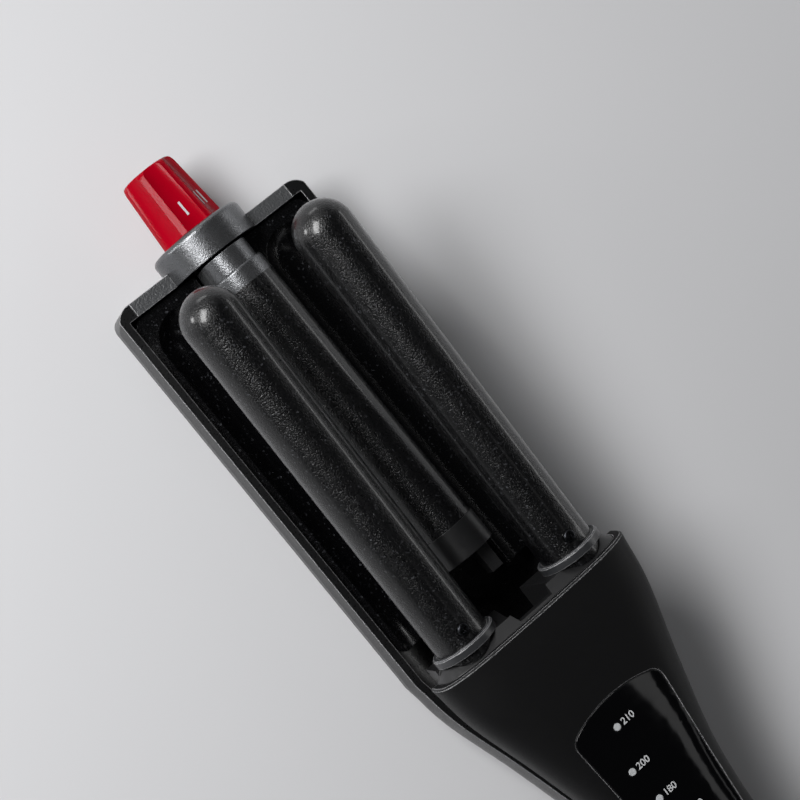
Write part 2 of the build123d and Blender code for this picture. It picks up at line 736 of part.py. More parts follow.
# Lower housing: tray, underside of the head and lower half of the grip in one moulding
with BuildPart() as lower_housing:
    mouth = arm_sections(hull_section, head_place, arm_rear, 0, 0, rim_level)
    hollow = arm_sections(hull_section, head_place, inner_rear, shell_wall, tray_floor, rim_level + overrun)
    loft(sections=mouth)
    extrude(mouth[0], amount=tray_front - head_place)
    loft(sections=hollow, mode=Mode.SUBTRACT)
    inner_front = tray_front - end_plate_thickness
    extrude(hollow[0], amount=inner_front - head_place, mode=Mode.SUBTRACT)
    with BuildSketch(over(lower, -overrun, (tray_front + arm_rear) / 2)) as plan:
        RectangleRounded(tray_front - arm_rear, head_half_width * 2, tray_corner)
    extrude(plan.sketch, amount=rim_level + overrun * 2, mode=Mode.INTERSECT)
    block(
        lower,
        inner_front - seat_gap,
        tray_front + overrun,
        -end_plate_half_width - seat_gap,
        end_plate_half_width + seat_gap,
        -overrun,
        rim_level + overrun,
        mode=Mode.SUBTRACT,
    )
    bulkhead_half_width = station_at(tray_rear - bulkhead_thickness)[1] - shell_wall / 2
    with BuildSketch(over(lower, tray_floor / 2, tray_rear - bulkhead_thickness / 2)) as bulkhead:
        Rectangle(bulkhead_thickness, bulkhead_half_width * 2)
    bulkhead_form = extrude(bulkhead.sketch, amount=rim_level - tray_floor / 2, mode=Mode.PRIVATE)
    mouth_form = loft(sections=mouth, mode=Mode.PRIVATE)
    add(bulkhead_form & mouth_form)
    ear_thickness = ear_outer - ear_inner
    for start in (ear_outer, -ear_inner):
        rod(beside(lower, start, hinge_place, hinge_level), knuckle_radius, ear_thickness)
        block(
            lower,
            hinge_place - knuckle_radius,
            hinge_place + knuckle_radius,
            start - ear_thickness,
            start,
            tray_floor / 2,
            hinge_level,
        )
    pin_bore = beside(lower, pin_half_length, hinge_place, hinge_level)
    rod(pin_bore, hinge_pin_radius + running_gap, pin_half_length * 2, mode=Mode.SUBTRACT)
    boss_top = rim_level - cover_thickness
    for place, side in cover_screw_spots:
        foot = over(lower, tray_floor / 2, place, side)
        rod(foot, cover_boss_radius, boss_top - tray_floor / 2)
        rod(over(lower, boss_top, place, side), cover_screw_radius, -screw_length, mode=Mode.SUBTRACT)
    for place in plate_screw_places:
        for side in (plate_screw_offset, -plate_screw_offset):
            rod(over(lower, tray_floor / 2, place, side), plate_boss_radius, plate_boss_top - tray_floor / 2)
            recess = plate_screw_recess + screw_head_height
            hole = over(lower, 0, place, side)
            rod(hole, plate_screw_radius + seat_gap, plate_boss_top, mode=Mode.SUBTRACT)
            rod(hole, screw_head_radius + seat_gap, recess, mode=Mode.SUBTRACT)
    for place in leg_places:
        for side in (guide_pin_offset, -guide_pin_offset):
            hole = over(lower, guide_pin_foot, place, side)
            rod(hole, guide_pin_radius + running_gap, tray_floor, mode=Mode.SUBTRACT)
    gland_bore = across(lower, arm_rear, 0, gland_level)
    rod(gland_bore, gland_neck_radius + running_gap, shell_wall, mode=Mode.SUBTRACT)
lower_housing.part.label = "lower_housing"
export_step(lower_housing.part, "parts/lower_housing.step")

with BuildPart() as lower_inner_cover:
    add(hull_fill.part)
    block(
        lower,
        cover_rear,
        cover_front,
        -head_half_width,
        head_half_width,
        rim_level - cover_thickness,
        rim_level,
        mode=Mode.INTERSECT,
    )
    for place, side in cover_screw_spots:
        seat = over(lower, rim_level, place, side)
        rod(seat, cover_screw_radius + seat_gap, -cover_thickness, mode=Mode.SUBTRACT)
        rod(seat, screw_head_radius + seat_gap, -screw_head_height, mode=Mode.SUBTRACT)
lower_inner_cover.part.label = "lower_inner_cover"
export_step(lower_inner_cover.part, "parts/lower_inner_cover.step")

with BuildPart() as lower_cover_screws:
    for place, side in cover_screw_spots:
        rod(over(lower, rim_level, place, side), screw_head_radius, -screw_head_height)
        rod(over(lower, rim_level, place, side), cover_screw_radius, -screw_length)
lower_cover_screws.part.label = "lower_cover_screws"
export_step(lower_cover_screws.part, "parts/lower_cover_screws.step")

# End plate between the rounded corners of the tray, with the round opening for the dial collar
with BuildPart() as end_plate:
    extrude(hull_section(tray_front, head_half_width, 0, 0, 0, rim_level), amount=-end_plate_thickness)
    block(
        lower,
        inner_front,
        tray_front,
        -end_plate_half_width,
        end_plate_half_width,
        0,
        rim_level,
        mode=Mode.INTERSECT,
    )
    opening = across(lower, inner_front, 0, dial_level)
    rod(opening, dial_collar_radius + seat_gap, end_plate_thickness, mode=Mode.SUBTRACT)
end_plate.part.label = "end_plate"
export_step(end_plate.part, "parts/end_plate.step")

# Trough plate: two troughs under the outer barrels and a channel that takes the lowered middle barrel
with BuildPart() as trough_plate:
    block(lower, plate_rear, plate_front, -plate_half_width, plate_half_width, plate_bottom, plate_top)
    fillet(trough_plate.edges().filter_by(Axis.Z), plate_corner)
    block(lower, plate_rear, plate_front, -keel_half_width, keel_half_width, keel_bottom, plate_bottom)
    for side in barrel_sides:
        start = across(lower, plate_rear, side, barrel_level)
        rod(start, trough_radius, barrel_end_centre - plate_rear, mode=Mode.SUBTRACT)
        with Locations(lower.from_local_coords((barrel_end_centre, side, barrel_level))):
            Sphere(trough_radius, mode=Mode.SUBTRACT)
    channel = across(lower, middle_rear, 0, lowest_level)
    rod(channel, channel_radius, cap_front - middle_rear, mode=Mode.SUBTRACT)
    rear_notch = rear_carrier_half_width + notch_air
    front_notch = front_carrier_half_width + notch_air
    cheek_notch = cheek_outer + body_gap
    cheek_reach = bar_travel + cheek_radius + notch_air
    below = keel_bottom - overrun
    above = plate_top + overrun
    for rear, front, half_width in (
        (plate_rear - overrun, middle_rear + notch_air, rear_notch),
        (cap_front - notch_air, plate_front + overrun, front_notch),
        (front_leg_place - cheek_reach, cap_front, cheek_notch),
    ):
        block(lower, rear, front, -half_width, half_width, below, above, mode=Mode.SUBTRACT)
    for place in plate_screw_places:
        for side in (plate_screw_offset, -plate_screw_offset):
            post = over(lower, plate_post_foot, place, side)
            rod(post, plate_post_radius, plate_bottom - plate_post_foot)
            rod(post, plate_screw_radius + seat_gap, plate_screw_top - plate_post_foot, mode=Mode.SUBTRACT)
trough_plate.part.label = "trough_plate"
export_step(trough_plate.part, "parts/trough_plate.step")

with BuildPart() as trough_heaters:
    top = plate_bottom - heater_air
    foot = top - heater_thickness
    for right, left in ((flat_heater_inner, flat_heater_outer), (-flat_heater_outer, -flat_heater_inner)):
        block(lower, flat_heater_rear, flat_heater_front, right, left, foot, top)
trough_heaters.part.label = "trough_heaters"
export_step(trough_heaters.part, "parts/trough_heaters.step")

with BuildPart() as plate_screws:
    for place in plate_screw_places:
        for side in (plate_screw_offset, -plate_screw_offset):
            head = over(lower, plate_screw_recess, place, side)
            rod(head, screw_head_radius, screw_head_height)
            rod(head, plate_screw_radius, plate_screw_top - plate_screw_recess - seat_gap)
plate_screws.part.label = "plate_screws"
export_step(plate_screws.part, "parts/plate_screws.step")

# Middle barrel on its two carriers, which go up and down on guide pins
with BuildPart() as middle_barrel:
    tube = across(lower, middle_rear, 0, middle_level)
    rod(tube, barrel_radius, middle_front - middle_rear, barrel_radius - barrel_wall)
middle_barrel.part.label = "middle_barrel"
export_step(middle_barrel.part, "parts/middle_barrel.step")

with BuildPart() as middle_heater:
    core = barrel_radius - barrel_wall - heater_air
    start = across(lower, middle_heater_start, 0, middle_level)
    rod(start, core, middle_heater_stop - middle_heater_start, heater_bore_radius)
middle_heater.part.label = "middle_heater"
export_step(middle_heater.part, "parts/middle_heater.step")

with BuildPart() as barrel_cap:
    spigot_radius = barrel_radius - barrel_wall - seat_gap
    bore = nose_radius + seat_gap
    rod(across(lower, middle_front, 0, middle_level), barrel_radius, cap_length)
    rim = barrel_cap.edges().sort_by(Axis.X)[-1]
    fillet(rim, cap_round)
    block(
        lower,
        middle_front,
        cap_front,
        -barrel_radius,
        barrel_radius,
        middle_level - barrel_radius - overrun,
        cap_flat,
        mode=Mode.SUBTRACT,
    )
    rod(across(lower, middle_front, 0, middle_level), spigot_radius, -cap_spigot_length)
    start = across(lower, middle_front - cap_spigot_length, 0, middle_level)
    rod(start, bore, cap_length + cap_spigot_length, mode=Mode.SUBTRACT)
barrel_cap.part.label = "barrel_cap"
export_step(barrel_cap.part, "parts/barrel_cap.step")


def carrier_body(rear, half_width, length):
    # round-topped block of a carrier, from its rear face forward
    with BuildSketch(across(lower, rear)) as outline:
        with Locations((0, middle_level)):
            Circle(half_width)
        with Locations((0, (middle_level + carrier_foot) / 2)):
            Rectangle(half_width * 2, middle_level - carrier_foot)
    extrude(outline.sketch, amount=length)
    with BuildSketch(across(lower, rear)) as below:
        with Locations((0, carrier_foot - half_width)):
            Rectangle(half_width * 3, half_width * 2)
    extrude(below.sketch, amount=length, mode=Mode.SUBTRACT)


def carrier_leg(place):
    # leg under a carrier with the cross hole for its pin, and the two holes for the guide pins
    half_length = leg_length / 2
    block(
        lower,
        place - half_length,
        place + half_length,
        -leg_half_width,
        leg_half_width,
        leg_foot,
        carrier_foot,
    )
    hole = beside(lower, leg_half_width, place, carrier_pin_level)
    rod(hole, carrier_pin_radius + seat_gap / 2, leg_half_width * 2, mode=Mode.SUBTRACT)
    for side in (guide_pin_offset, -guide_pin_offset):
        start = over(lower, carrier_foot, place, side)
        rod(start, guide_pin_radius + running_gap, guide_hole_top - carrier_foot, mode=Mode.SUBTRACT)


with BuildPart() as front_carrier:
    carrier_body(cap_front, front_carrier_half_width, front_carrier_length)
    carrier_leg(front_leg_place)
    rod(across(lower, cap_front, 0, middle_level), nose_radius, -cap_length)
front_carrier.part.label = "front_carrier"
export_step(front_carrier.part, "parts/front_carrier.step")

with BuildPart() as rear_carrier:
    carrier_body(carrier_rear, rear_carrier_half_width, rear_carrier_length)
    carrier_leg(rear_leg_place)
    spigot_radius = barrel_radius - barrel_wall - seat_gap
    rod(across(lower, middle_rear, 0, middle_level), spigot_radius, cap_spigot_length)
    neck_rear = carrier_rear - neck_length
    neck_right = -neck_offset - neck_width / 2
    neck_left = -neck_offset + neck_width / 2
    neck_foot = middle_level - neck_rise
    block(lower, neck_rear, carrier_rear, neck_right, neck_left, neck_foot, middle_level + neck_rise)
rear_carrier.part.label = "rear_carrier"
export_step(rear_carrier.part, "parts/rear_carrier.step")

with BuildPart() as carrier_pins:
    for place in leg_places:
        rod(beside(lower, cheek_outer, place, carrier_pin_level), carrier_pin_radius, cheek_outer * 2)
carrier_pins.part.label = "carrier_pins"
export_step(carrier_pins.part, "parts/carrier_pins.step")

with BuildPart() as guide_pins:
    for place in leg_places:
        for side in (guide_pin_offset, -guide_pin_offset):
            rod(over(lower, guide_pin_foot, place, side), guide_pin_radius, guide_pin_top - guide_pin_foot)
guide_pins.part.label = "guide_pins"
export_step(guide_pins.part, "parts/guide_pins.step")

# Lift bar: as the dial draws it back, its inclined slots press the carriers down
with BuildPart() as lift_bar:
    block(lower, bar_rear, bar_front, -cheek_outer, cheek_outer, bar_level, bar_top)
    for start in (cheek_outer, -cheek_inner):
        for place in leg_places:
            with BuildSketch(beside(lower, start)) as cheek:
                ends = [(place, carrier_pin_level), (place + bar_travel, carrier_pin_level - depth_lift)]
                with Locations(*ends):
                    Circle(cheek_radius)
                with Locations(((place + ends[1][0]) / 2, (ends[0][1] + ends[1][1]) / 2)):
                    Rectangle(hypot(bar_travel, depth_lift), cheek_radius * 2, rotation=slot_slope)
                with Locations((place, (bar_level + ends[1][1]) / 2)):
                    Rectangle(cheek_radius * 2, ends[1][1] - bar_level)
            extrude(cheek.sketch, amount=cheek_thickness)
        block(
            lower,
            front_leg_place + bar_travel,
            upright_front,
            start - cheek_thickness,
            start,
            arm_level,
            arm_level + arm_height,
        )
    with BuildSketch(across(lower, upright_rear)) as upright:
        with Locations((0, dial_level)):
            Circle(cheek_outer)
        with Locations((0, (arm_level + dial_level) / 2)):
            Rectangle(cheek_outer * 2, dial_level - arm_level)
    extrude(upright.sketch, amount=upright_thickness)
    rod(across(lower, upright_rear, 0, dial_level), rod_radius, rod_front - upright_rear)
    for place in leg_places:
        with BuildSketch(beside(lower, cheek_outer)) as slot:
            ends = [(place, carrier_pin_level), (place + bar_travel, carrier_pin_level - depth_lift)]
            with Locations(*ends):
                Circle(pin_slot_radius)
            with Locations(((place + ends[1][0]) / 2, (ends[0][1] + ends[1][1]) / 2)):
                Rectangle(hypot(bar_travel, depth_lift), pin_slot_radius * 2, rotation=slot_slope)
        extrude(slot.sketch, amount=cheek_outer * 2, mode=Mode.SUBTRACT)
    trim_rear = bar_front
    trim_front = upright_front + overrun
    block(lower, trim_rear, trim_front, -cheek_outer, cheek_outer, 0, arm_level, mode=Mode.SUBTRACT)
    follower_hole = over(lower, dial_level, follower_place)
    rod(follower_hole, follower_radius + seat_gap / 2, rod_radius, mode=Mode.SUBTRACT)
lift_bar.part.label = "lift_bar"
export_step(lift_bar.part, "parts/lift_bar.step")

with BuildPart() as follower_pin:
    rod(over(lower, dial_level, follower_place), follower_radius, sleeve_radius + seat_gap - body_gap)
follower_pin.part.label = "follower_pin"
export_step(follower_pin.part, "parts/follower_pin.step")

# Dial collar: the round housing in the end plate, with the slotted nose that the dial turns on
with BuildPart() as dial_collar:
    rod(across(lower, dial_collar_rear, 0, dial_level), dial_collar_radius, dial_collar_length)
    fillet(dial_collar.edges().sort_by(Axis.X)[-1], dial_end_round)
    start = across(lower, dial_collar_rear, 0, dial_level)
    rod(start, collar_inner_radius, dial_collar_length - dial_collar_wall, mode=Mode.SUBTRACT)
    rod(across(lower, collar_inner_front, 0, dial_level), nose_radius, nose_front - collar_inner_front)
    boss_level = dial_level + detent_offset
    rod(across(lower, collar_inner_front, 0, boss_level), detent_boss_radius, -detent_boss_length)
    bore_end = rod_front + overrun - collar_inner_front
    bore = across(lower, collar_inner_front, 0, dial_level)
    rod(bore, rod_radius + running_gap, bore_end, mode=Mode.SUBTRACT)
    slot_half_width = follower_radius + seat_gap
    block(
        lower,
        follower_place - bar_travel - slot_half_width,
        follower_place + slot_half_width,
        -slot_half_width,
        slot_half_width,
        dial_level,
        dial_level + nose_radius + overrun,
        mode=Mode.SUBTRACT,
    )
    pocket = dial_collar_wall + detent_boss_length - detent_floor
    mouth_of_pocket = across(lower, dial_collar_front, 0, boss_level)
    rod(mouth_of_pocket, ball_radius + running_gap, -pocket, mode=Mode.SUBTRACT)
dial_collar.part.label = "dial_collar"
export_step(dial_collar.part, "parts/dial_collar.step")

ball_place = dial_collar_front + ball_rise - ball_radius
with BuildPart() as detent_ball:
    with Locations(lower.from_local_coords((ball_place, 0, dial_level + detent_offset))):
        Sphere(ball_radius)
detent_ball.part.label = "detent_ball"
export_step(detent_ball.part, "parts/detent_ball.step")

spring_foot = dial_collar_front - pocket + detent_wire_radius * 2
spring_length = ball_place - ball_radius - detent_wire_radius - spring_foot
coil_radius = ball_radius - detent_wire_radius * 2
spring_plane = across(lower, spring_foot, 0, dial_level + detent_offset)
coil = helix_on(spring_plane, spring_length / detent_turns, spring_length, coil_radius)
with BuildPart() as detent_spring:
    with BuildSketch(Plane(origin=coil @ 0, z_dir=coil % 0)) as wire:
        RegularPolygon(detent_wire_radius, 5)
    sweep(wire.sketch, path=coil, is_frenet=True)
detent_spring.part.label = "detent_spring"
export_step(detent_spring.part, "parts/detent_spring.step")


def fluted_section(place, radius):
    # round section with broad hollow flutes and narrow ribs, the first flute on top
    step = 360 / flute_count
    with BuildSketch(across(lower, place, 0, dial_level)) as outline:
        with BuildLine():
            for index in range(flute_count):
                centre = 90 + index * step
                edges = (centre - flute_angle / 2, centre + flute_angle / 2, centre - flute_angle / 2 + step)
                first, second, third = [Vector(radius, 0).rotate(Axis.Z, edge) for edge in edges]
                hollow = Vector(radius - flute_depth, 0).rotate(Axis.Z, centre)
                crest = Vector(radius, 0).rotate(Axis.Z, (edges[1] + edges[2]) / 2)
                ThreePointArc(first, hollow, second)
                ThreePointArc(second, crest, third)
        make_face()
    return outline.sketch


# Dial: seven flutes, a round end, a bore for the nose and a ring of clicks in its rear face
with BuildPart() as dial:
    loft(sections=[fluted_section(dial_rear, dial_radius), fluted_section(dial_front, dial_end_radius)])
    with BuildSketch(beside(lower, 0, dial_rear, dial_level)) as envelope:
        with BuildLine():
            shoulder = dial_length - dial_end_round
            face_radius = dial_end_radius - dial_end_round
            Polyline((0, 0), (0, dial_radius + overrun), (shoulder, dial_end_radius + overrun))
            Line((shoulder, dial_end_radius + overrun), (shoulder, dial_end_radius))
            RadiusArc((shoulder, dial_end_radius), (dial_length, face_radius), dial_end_round)
            Polyline((dial_length, face_radius), (dial_length, 0), (0, 0))
        make_face()
    turn_axis = Axis(lower.from_local_coords((0, 0, dial_level)), lower.x_dir)
    round_end = revolve(envelope.sketch, axis=turn_axis, mode=Mode.PRIVATE)
    add(round_end, mode=Mode.INTERSECT)
    face = across(lower, dial_rear, 0, dial_level)
    rod(face, sleeve_radius + seat_gap, nose_front + body_gap - dial_rear, mode=Mode.SUBTRACT)
    track_inner = detent_offset - ball_radius - body_gap
    track_outer = detent_offset + ball_radius + body_gap
    rod(face, track_outer, ball_rise, track_inner, mode=Mode.SUBTRACT)
    for click in range(dial_steps + 1):
        turn = radians(90 + click * 360 / flute_count)
        spot = across(lower, dial_rear, detent_offset * cos(turn), dial_level + detent_offset * sin(turn))
        rod(spot, ball_radius, ball_rise + dimple_depth, mode=Mode.SUBTRACT)
dial.part.label = "dial"
export_step(dial.part, "parts/dial.step")

# Cam sleeve in the dial: the follower pin rides in its helical slot
slot_turn = dial_turn + slot_margin * 2
slot_start = follower_place + cam_lead * slot_margin / 360
lean = radians(slot_margin)
slot_plane = Plane(
    origin=lower.from_local_coords((slot_start, 0, dial_level)),
    x_dir=(0, sin(lean), cos(lean)),
    z_dir=(-1, 0, 0),
)
slot_middle = (sleeve_bore + sleeve_radius) / 2
track = helix_on(slot_plane, cam_lead, cam_lead * slot_turn / 360, slot_middle, lefthand=True)
with BuildPart() as cam_sleeve:
    rod(across(lower, sleeve_rear, 0, dial_level), sleeve_radius, sleeve_length, sleeve_bore)
    with BuildSketch(Plane(origin=track @ 0, x_dir=slot_plane.x_dir, z_dir=track % 0)) as cutter:
        Rectangle(sleeve_wall * 3, slot_half_width * 2)
    sweep(cutter.sketch, path=track, is_frenet=True, mode=Mode.SUBTRACT)
cam_sleeve.part.label = "cam_sleeve"
export_step(cam_sleeve.part, "parts/cam_sleeve.step")

# Hinge: pin, bush in the knuckle, washers and the two springs that open the jaws
with BuildPart() as hinge_pin:
    rod(beside(lower, pin_half_length, hinge_place, hinge_level), hinge_pin_radius, pin_half_length * 2)
hinge_pin.part.label = "hinge_pin"
export_step(hinge_pin.part, "parts/hinge_pin.step")

with BuildPart() as hinge_bush:
    bush_bore = hinge_pin_radius + running_gap
    bush = beside(upper, knuckle_half_width, hinge_place, hinge_level)
    rod(bush, bush_bore + bush_wall, knuckle_half_width * 2, bush_bore)
hinge_bush.part.label = "hinge_bush"
export_step(hinge_bush.part, "parts/hinge_bush.step")

with BuildPart() as hinge_washers:
    for start in (ear_inner - seat_gap, seat_gap + washer_thickness - ear_inner):
        ring = beside(lower, start, hinge_place, hinge_level)
        rod(ring, washer_radius, washer_thickness, hinge_pin_radius + running_gap)
hinge_washers.part.label = "hinge_washers"
export_step(hinge_washers.part, "parts/hinge_washers.step")

wires = []
for hand in (1, -1):
    centre = lower.from_local_coords((hinge_place, spring_start * hand, hinge_level))
    coil_plane = Plane(origin=centre, x_dir=(0, 0, 1), z_dir=(0, hand, 0))
    pitch = spring_width / spring_turns
    coil = helix_on(coil_plane, pitch, spring_width, spring_coil_radius, lefthand=hand > 0)
    upper_leg = Edge.make_line(coil @ 0 - (coil % 0) * spring_leg, coil @ 0)
    lower_leg = Edge.make_line(coil @ 1, coil @ 1 + (coil % 1) * spring_leg)
    wires.append(Wire([upper_leg, coil, lower_leg]))
with BuildPart() as hinge_springs:
    for path in wires:
        with BuildSketch(Plane(origin=path @ 0, z_dir=path % 0)) as outline:
            RegularPolygon(spring_wire_radius, 6)
        sweep(outline.sketch, path=path, is_frenet=True)
hinge_springs.part.label = "hinge_springs"
export_step(hinge_springs.part, "parts/hinge_springs.step")

# Swivel gland where the cord goes in, held by a clip behind the rear wall
with BuildPart() as swivel_gland:
    clip_rear = inner_rear + body_gap
    clip_front = clip_rear + gland_clip_thickness
    groove_radius = gland_neck_radius - gland_groove
    flange_front = arm_rear - body_gap
    flange_rear = flange_front - gland_flange_length
    neck_front = clip_front + gland_tail
    points = [
        (neck_front, gland_bore_radius),
        (neck_front, gland_neck_radius),
        (clip_front, gland_neck_radius),
        (clip_front, groove_radius),
        (clip_rear, groove_radius),
        (clip_rear, gland_neck_radius),
        (flange_front, gland_neck_radius),
        (flange_front, gland_flange_radius),
        (flange_rear, gland_flange_radius),
        (arm_rear - gland_reach, gland_tip_radius),
        (arm_rear - gland_reach, gland_bore_radius),
    ]
    turned(lower, 0, gland_level, points)
swivel_gland.part.label = "swivel_gland"
export_step(swivel_gland.part, "parts/swivel_gland.step")

with BuildPart() as gland_clip:
    ring = across(lower, clip_rear + running_gap, 0, gland_level)
    rod(ring, gland_clip_radius, gland_clip_thickness - running_gap * 2, groove_radius + running_gap)
gland_clip.part.label = "gland_clip"
export_step(gland_clip.part, "parts/gland_clip.step")
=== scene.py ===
import math

import bmesh
import bpy
from mathutils import Matrix, Vector
from mathutils.bvhtree import BVHTree


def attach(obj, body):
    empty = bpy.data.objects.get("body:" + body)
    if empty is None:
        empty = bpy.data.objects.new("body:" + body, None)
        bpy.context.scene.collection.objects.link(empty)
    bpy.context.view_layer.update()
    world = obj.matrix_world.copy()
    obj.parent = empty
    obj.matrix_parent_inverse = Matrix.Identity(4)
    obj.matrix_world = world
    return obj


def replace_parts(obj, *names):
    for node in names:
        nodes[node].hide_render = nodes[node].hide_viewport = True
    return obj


# A triple barrel hair waver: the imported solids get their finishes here, the print and the marks are laid
# on them, and the screws are drawn again in full. Metres, tip towards +X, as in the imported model.

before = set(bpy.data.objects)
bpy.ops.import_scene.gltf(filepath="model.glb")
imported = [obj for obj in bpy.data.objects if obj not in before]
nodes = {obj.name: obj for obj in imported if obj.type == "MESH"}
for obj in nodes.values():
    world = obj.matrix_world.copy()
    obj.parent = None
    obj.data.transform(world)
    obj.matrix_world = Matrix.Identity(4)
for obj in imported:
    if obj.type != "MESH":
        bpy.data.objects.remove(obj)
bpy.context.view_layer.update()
mm = 0.001
rangeEnds = ("From Min", "From Max", "To Min", "To Max")      # the sockets of a Map Range node
noiseSpread = (0.3, 0.7)      # most of a noise's values lie between these
print("frame loaded,", len(nodes), "nodes")

# the two arms: places run from the foot of the outer barrels to the tip, levels from the underside
arms = {
    "origin": 21.85 * mm,
    "hingePlace": -185.0 * mm,
    "hingeLevel": 21.95 * mm,
    "openAngle": math.radians(5.5),
}


def onLower(place, side, level):
    return Vector((arms["origin"] + place, side, level))


def onUpper(place, side, level):
    turn = arms["openAngle"]
    along = place - arms["hingePlace"]
    high = level - arms["hingeLevel"]
    return Vector((
        arms["origin"] + arms["hingePlace"] + along * math.cos(turn) - high * math.sin(turn),
        side,
        arms["hingeLevel"] + along * math.sin(turn) + high * math.cos(turn),
    ))


upperUp = Vector((-math.sin(arms["openAngle"]), 0, math.cos(arms["openAngle"])))


def toLinear(hexColour):
    parts = [int(hexColour[i:i + 2], 16) / 255 for i in (1, 3, 5)]
    return tuple(c / 12.92 if c <= 0.04045 else ((c + 0.055) / 1.055) ** 2.4 for c in parts) + (1.0,)


def addNode(material, kind, inputs=None, links=None, **settings):
    node = material.node_tree.nodes.new(kind)
    for name, value in settings.items():
        setattr(node, name, value)
    for socket, value in (inputs or {}).items():
        node.inputs[socket].default_value = value
    for socket, source in (links or {}).items():
        material.node_tree.links.new(source, node.inputs[socket])
    return node


def newFinish(name, values):
    # an empty material with one shader, whose plain numbers sit on its own sockets
    material = bpy.data.materials.new(name)
    material.use_nodes = True
    material.node_tree.nodes.clear()
    shader = addNode(material, "ShaderNodeBsdfPrincipled", inputs=values)
    addNode(material, "ShaderNodeOutputMaterial", links={"Surface": shader.outputs["BSDF"]})
    spot = addNode(material, "ShaderNodeTexCoord")
    return material, shader, spot.outputs["Object"]


# painted highlight: a pale line mixed into the colour along every broken edge, where light would catch it
edgeHighlight = {
    "starts": 0.985,      # cosine between a face and its broken edge where the paler line starts
    "full": 0.86,         # and where it is at its palest
    "strength": 1.8,      # the grain takes about half of it away again
}


def grained(name, values, colours, grain, relief, roughness, patches=20 * mm, edge=0.25 * mm, edgeLightColour=None):
    # a moulded or painted surface: two near colours in soft patches, a fine grain in relief and in gloss,
    # and edges that are broken by a fraction of a millimetre, so they catch a line of light. With an edge
    # light colour, a painted highlight of that colour is laid along the edges, in a thin broken line. The
    # real grain of moulds and paint is near 0.15 mm and is drawn at 0.3 to 0.9 mm so that it shows
    material, shader, spot = newFinish(name, values)
    cloud = addNode(
        material, "ShaderNodeTexNoise", inputs={"Scale": 1 / patches, "Detail": 3.0}, links={"Vector": spot},
    )
    tone = addNode(
        material, "ShaderNodeMix", data_type="RGBA",
        inputs={6: toLinear(colours[0]), 7: toLinear(colours[1])}, links={0: cloud.outputs["Fac"]},
    )
    fine = addNode(
        material, "ShaderNodeTexNoise", inputs={"Scale": 1 / grain, "Detail": 2.0}, links={"Vector": spot},
    )
    gloss = addNode(
        material, "ShaderNodeMapRange",
        inputs=dict(zip(rangeEnds, noiseSpread + roughness)),
        links={"Value": fine.outputs["Fac"]},
    )
    broken = addNode(material, "ShaderNodeBevel", samples=4, inputs={"Radius": edge})
    bump = addNode(
        material, "ShaderNodeBump", inputs={"Strength": 1.0, "Distance": relief},
        links={"Height": fine.outputs["Fac"], "Normal": broken.outputs["Normal"]},
    )
    # painted highlight: where the bevel turns the normal away from the face, the colour goes towards the pale
    # edge colour, broken up by the grain
    if edgeLightColour:
        face = addNode(material, "ShaderNodeNewGeometry")
        turned = addNode(
            material, "ShaderNodeVectorMath", operation="DOT_PRODUCT",
            links={0: broken.outputs["Normal"], 1: face.outputs["Normal"]},
        )
        litEdge = addNode(
            material, "ShaderNodeMapRange", links={"Value": turned.outputs["Value"]},
            inputs=dict(zip(rangeEnds, (edgeHighlight["starts"], edgeHighlight["full"], 0.0, edgeHighlight["strength"]))),
        )
        patchy = addNode(
            material, "ShaderNodeMath", operation="MULTIPLY",
            links={0: litEdge.outputs["Result"], 1: fine.outputs["Fac"]},
        )
        tone = addNode(
            material, "ShaderNodeMix", data_type="RGBA",
            inputs={7: toLinear(edgeLightColour)}, links={0: patchy.outputs["Value"], 6: tone.outputs[2]},
        )
    material.node_tree.links.new(tone.outputs[2], shader.inputs["Base Color"])
    material.node_tree.links.new(gloss.outputs["Result"], shader.inputs["Roughness"])
    material.node_tree.links.new(bump.outputs["Normal"], shader.inputs["Normal"])
    return material


# soft-touch paint on moulded polycarbonate: nearly black, no clear reflection, only a wide soft sheen,
# and a painted highlight laid as a thin pale line along the edges of the head
softTouchPaint = grained(
    "soft_touch_paint_on_polycarbonate", {"IOR": 1.4, "Specular IOR Level": 0.35},
    ("#040405", "#070708"), grain=0.45 * mm, relief=0.01 * mm, roughness=(0.5, 0.6), edge=0.45 * mm,
    edgeLightColour="#b4b4b6",
)

# the lower half is left as moulded: black and half gloss, with a painted highlight as a thin pale line on its
# rims
plainPolycarbonate = grained(
    "moulded_glass_filled_polycarbonate", {"IOR": 1.55},
    ("#0a0a0b", "#0f0f10"), grain=0.7 * mm, relief=0.02 * mm, roughness=(0.26, 0.36), edge=0.45 * mm,
    edgeLightColour="#b8b8ba",
)

# spark-eroded glass-filled nylon of the end plate: charcoal, with a leathery grain that catches the
# light in points, and a painted highlight as a pale line along its edges
grainedNylon = grained(
    "grained_glass_filled_nylon", {"IOR": 1.53},
    ("#38393a", "#454648"), grain=0.6 * mm, relief=0.24 * mm, roughness=(0.34, 0.46), edge=0.4 * mm,
    edgeLightColour="#c4c4c6",
)

# polyphenylene sulphide of the block in the head, the carriers and the covers: black, half gloss,
# with soft edges of light
sulphide = grained(
    "moulded_polyphenylene_sulphide", {"IOR": 1.55},
    ("#121213", "#171718"), grain=0.6 * mm, relief=0.012 * mm, roughness=(0.32, 0.42), edge=0.3 * mm,
)

# collars at the barrels' feet: the same plastic a little greyer and smoother, with a painted highlight
# as a clear pale line on the edge
collarSulphide = grained(
    "smooth_polyphenylene_sulphide", {"IOR": 1.6},
    ("#232426", "#2b2c2e"), grain=0.8 * mm, relief=0.03 * mm, roughness=(0.3, 0.4), edge=0.5 * mm,
    edgeLightColour="#c4c4c6",
)

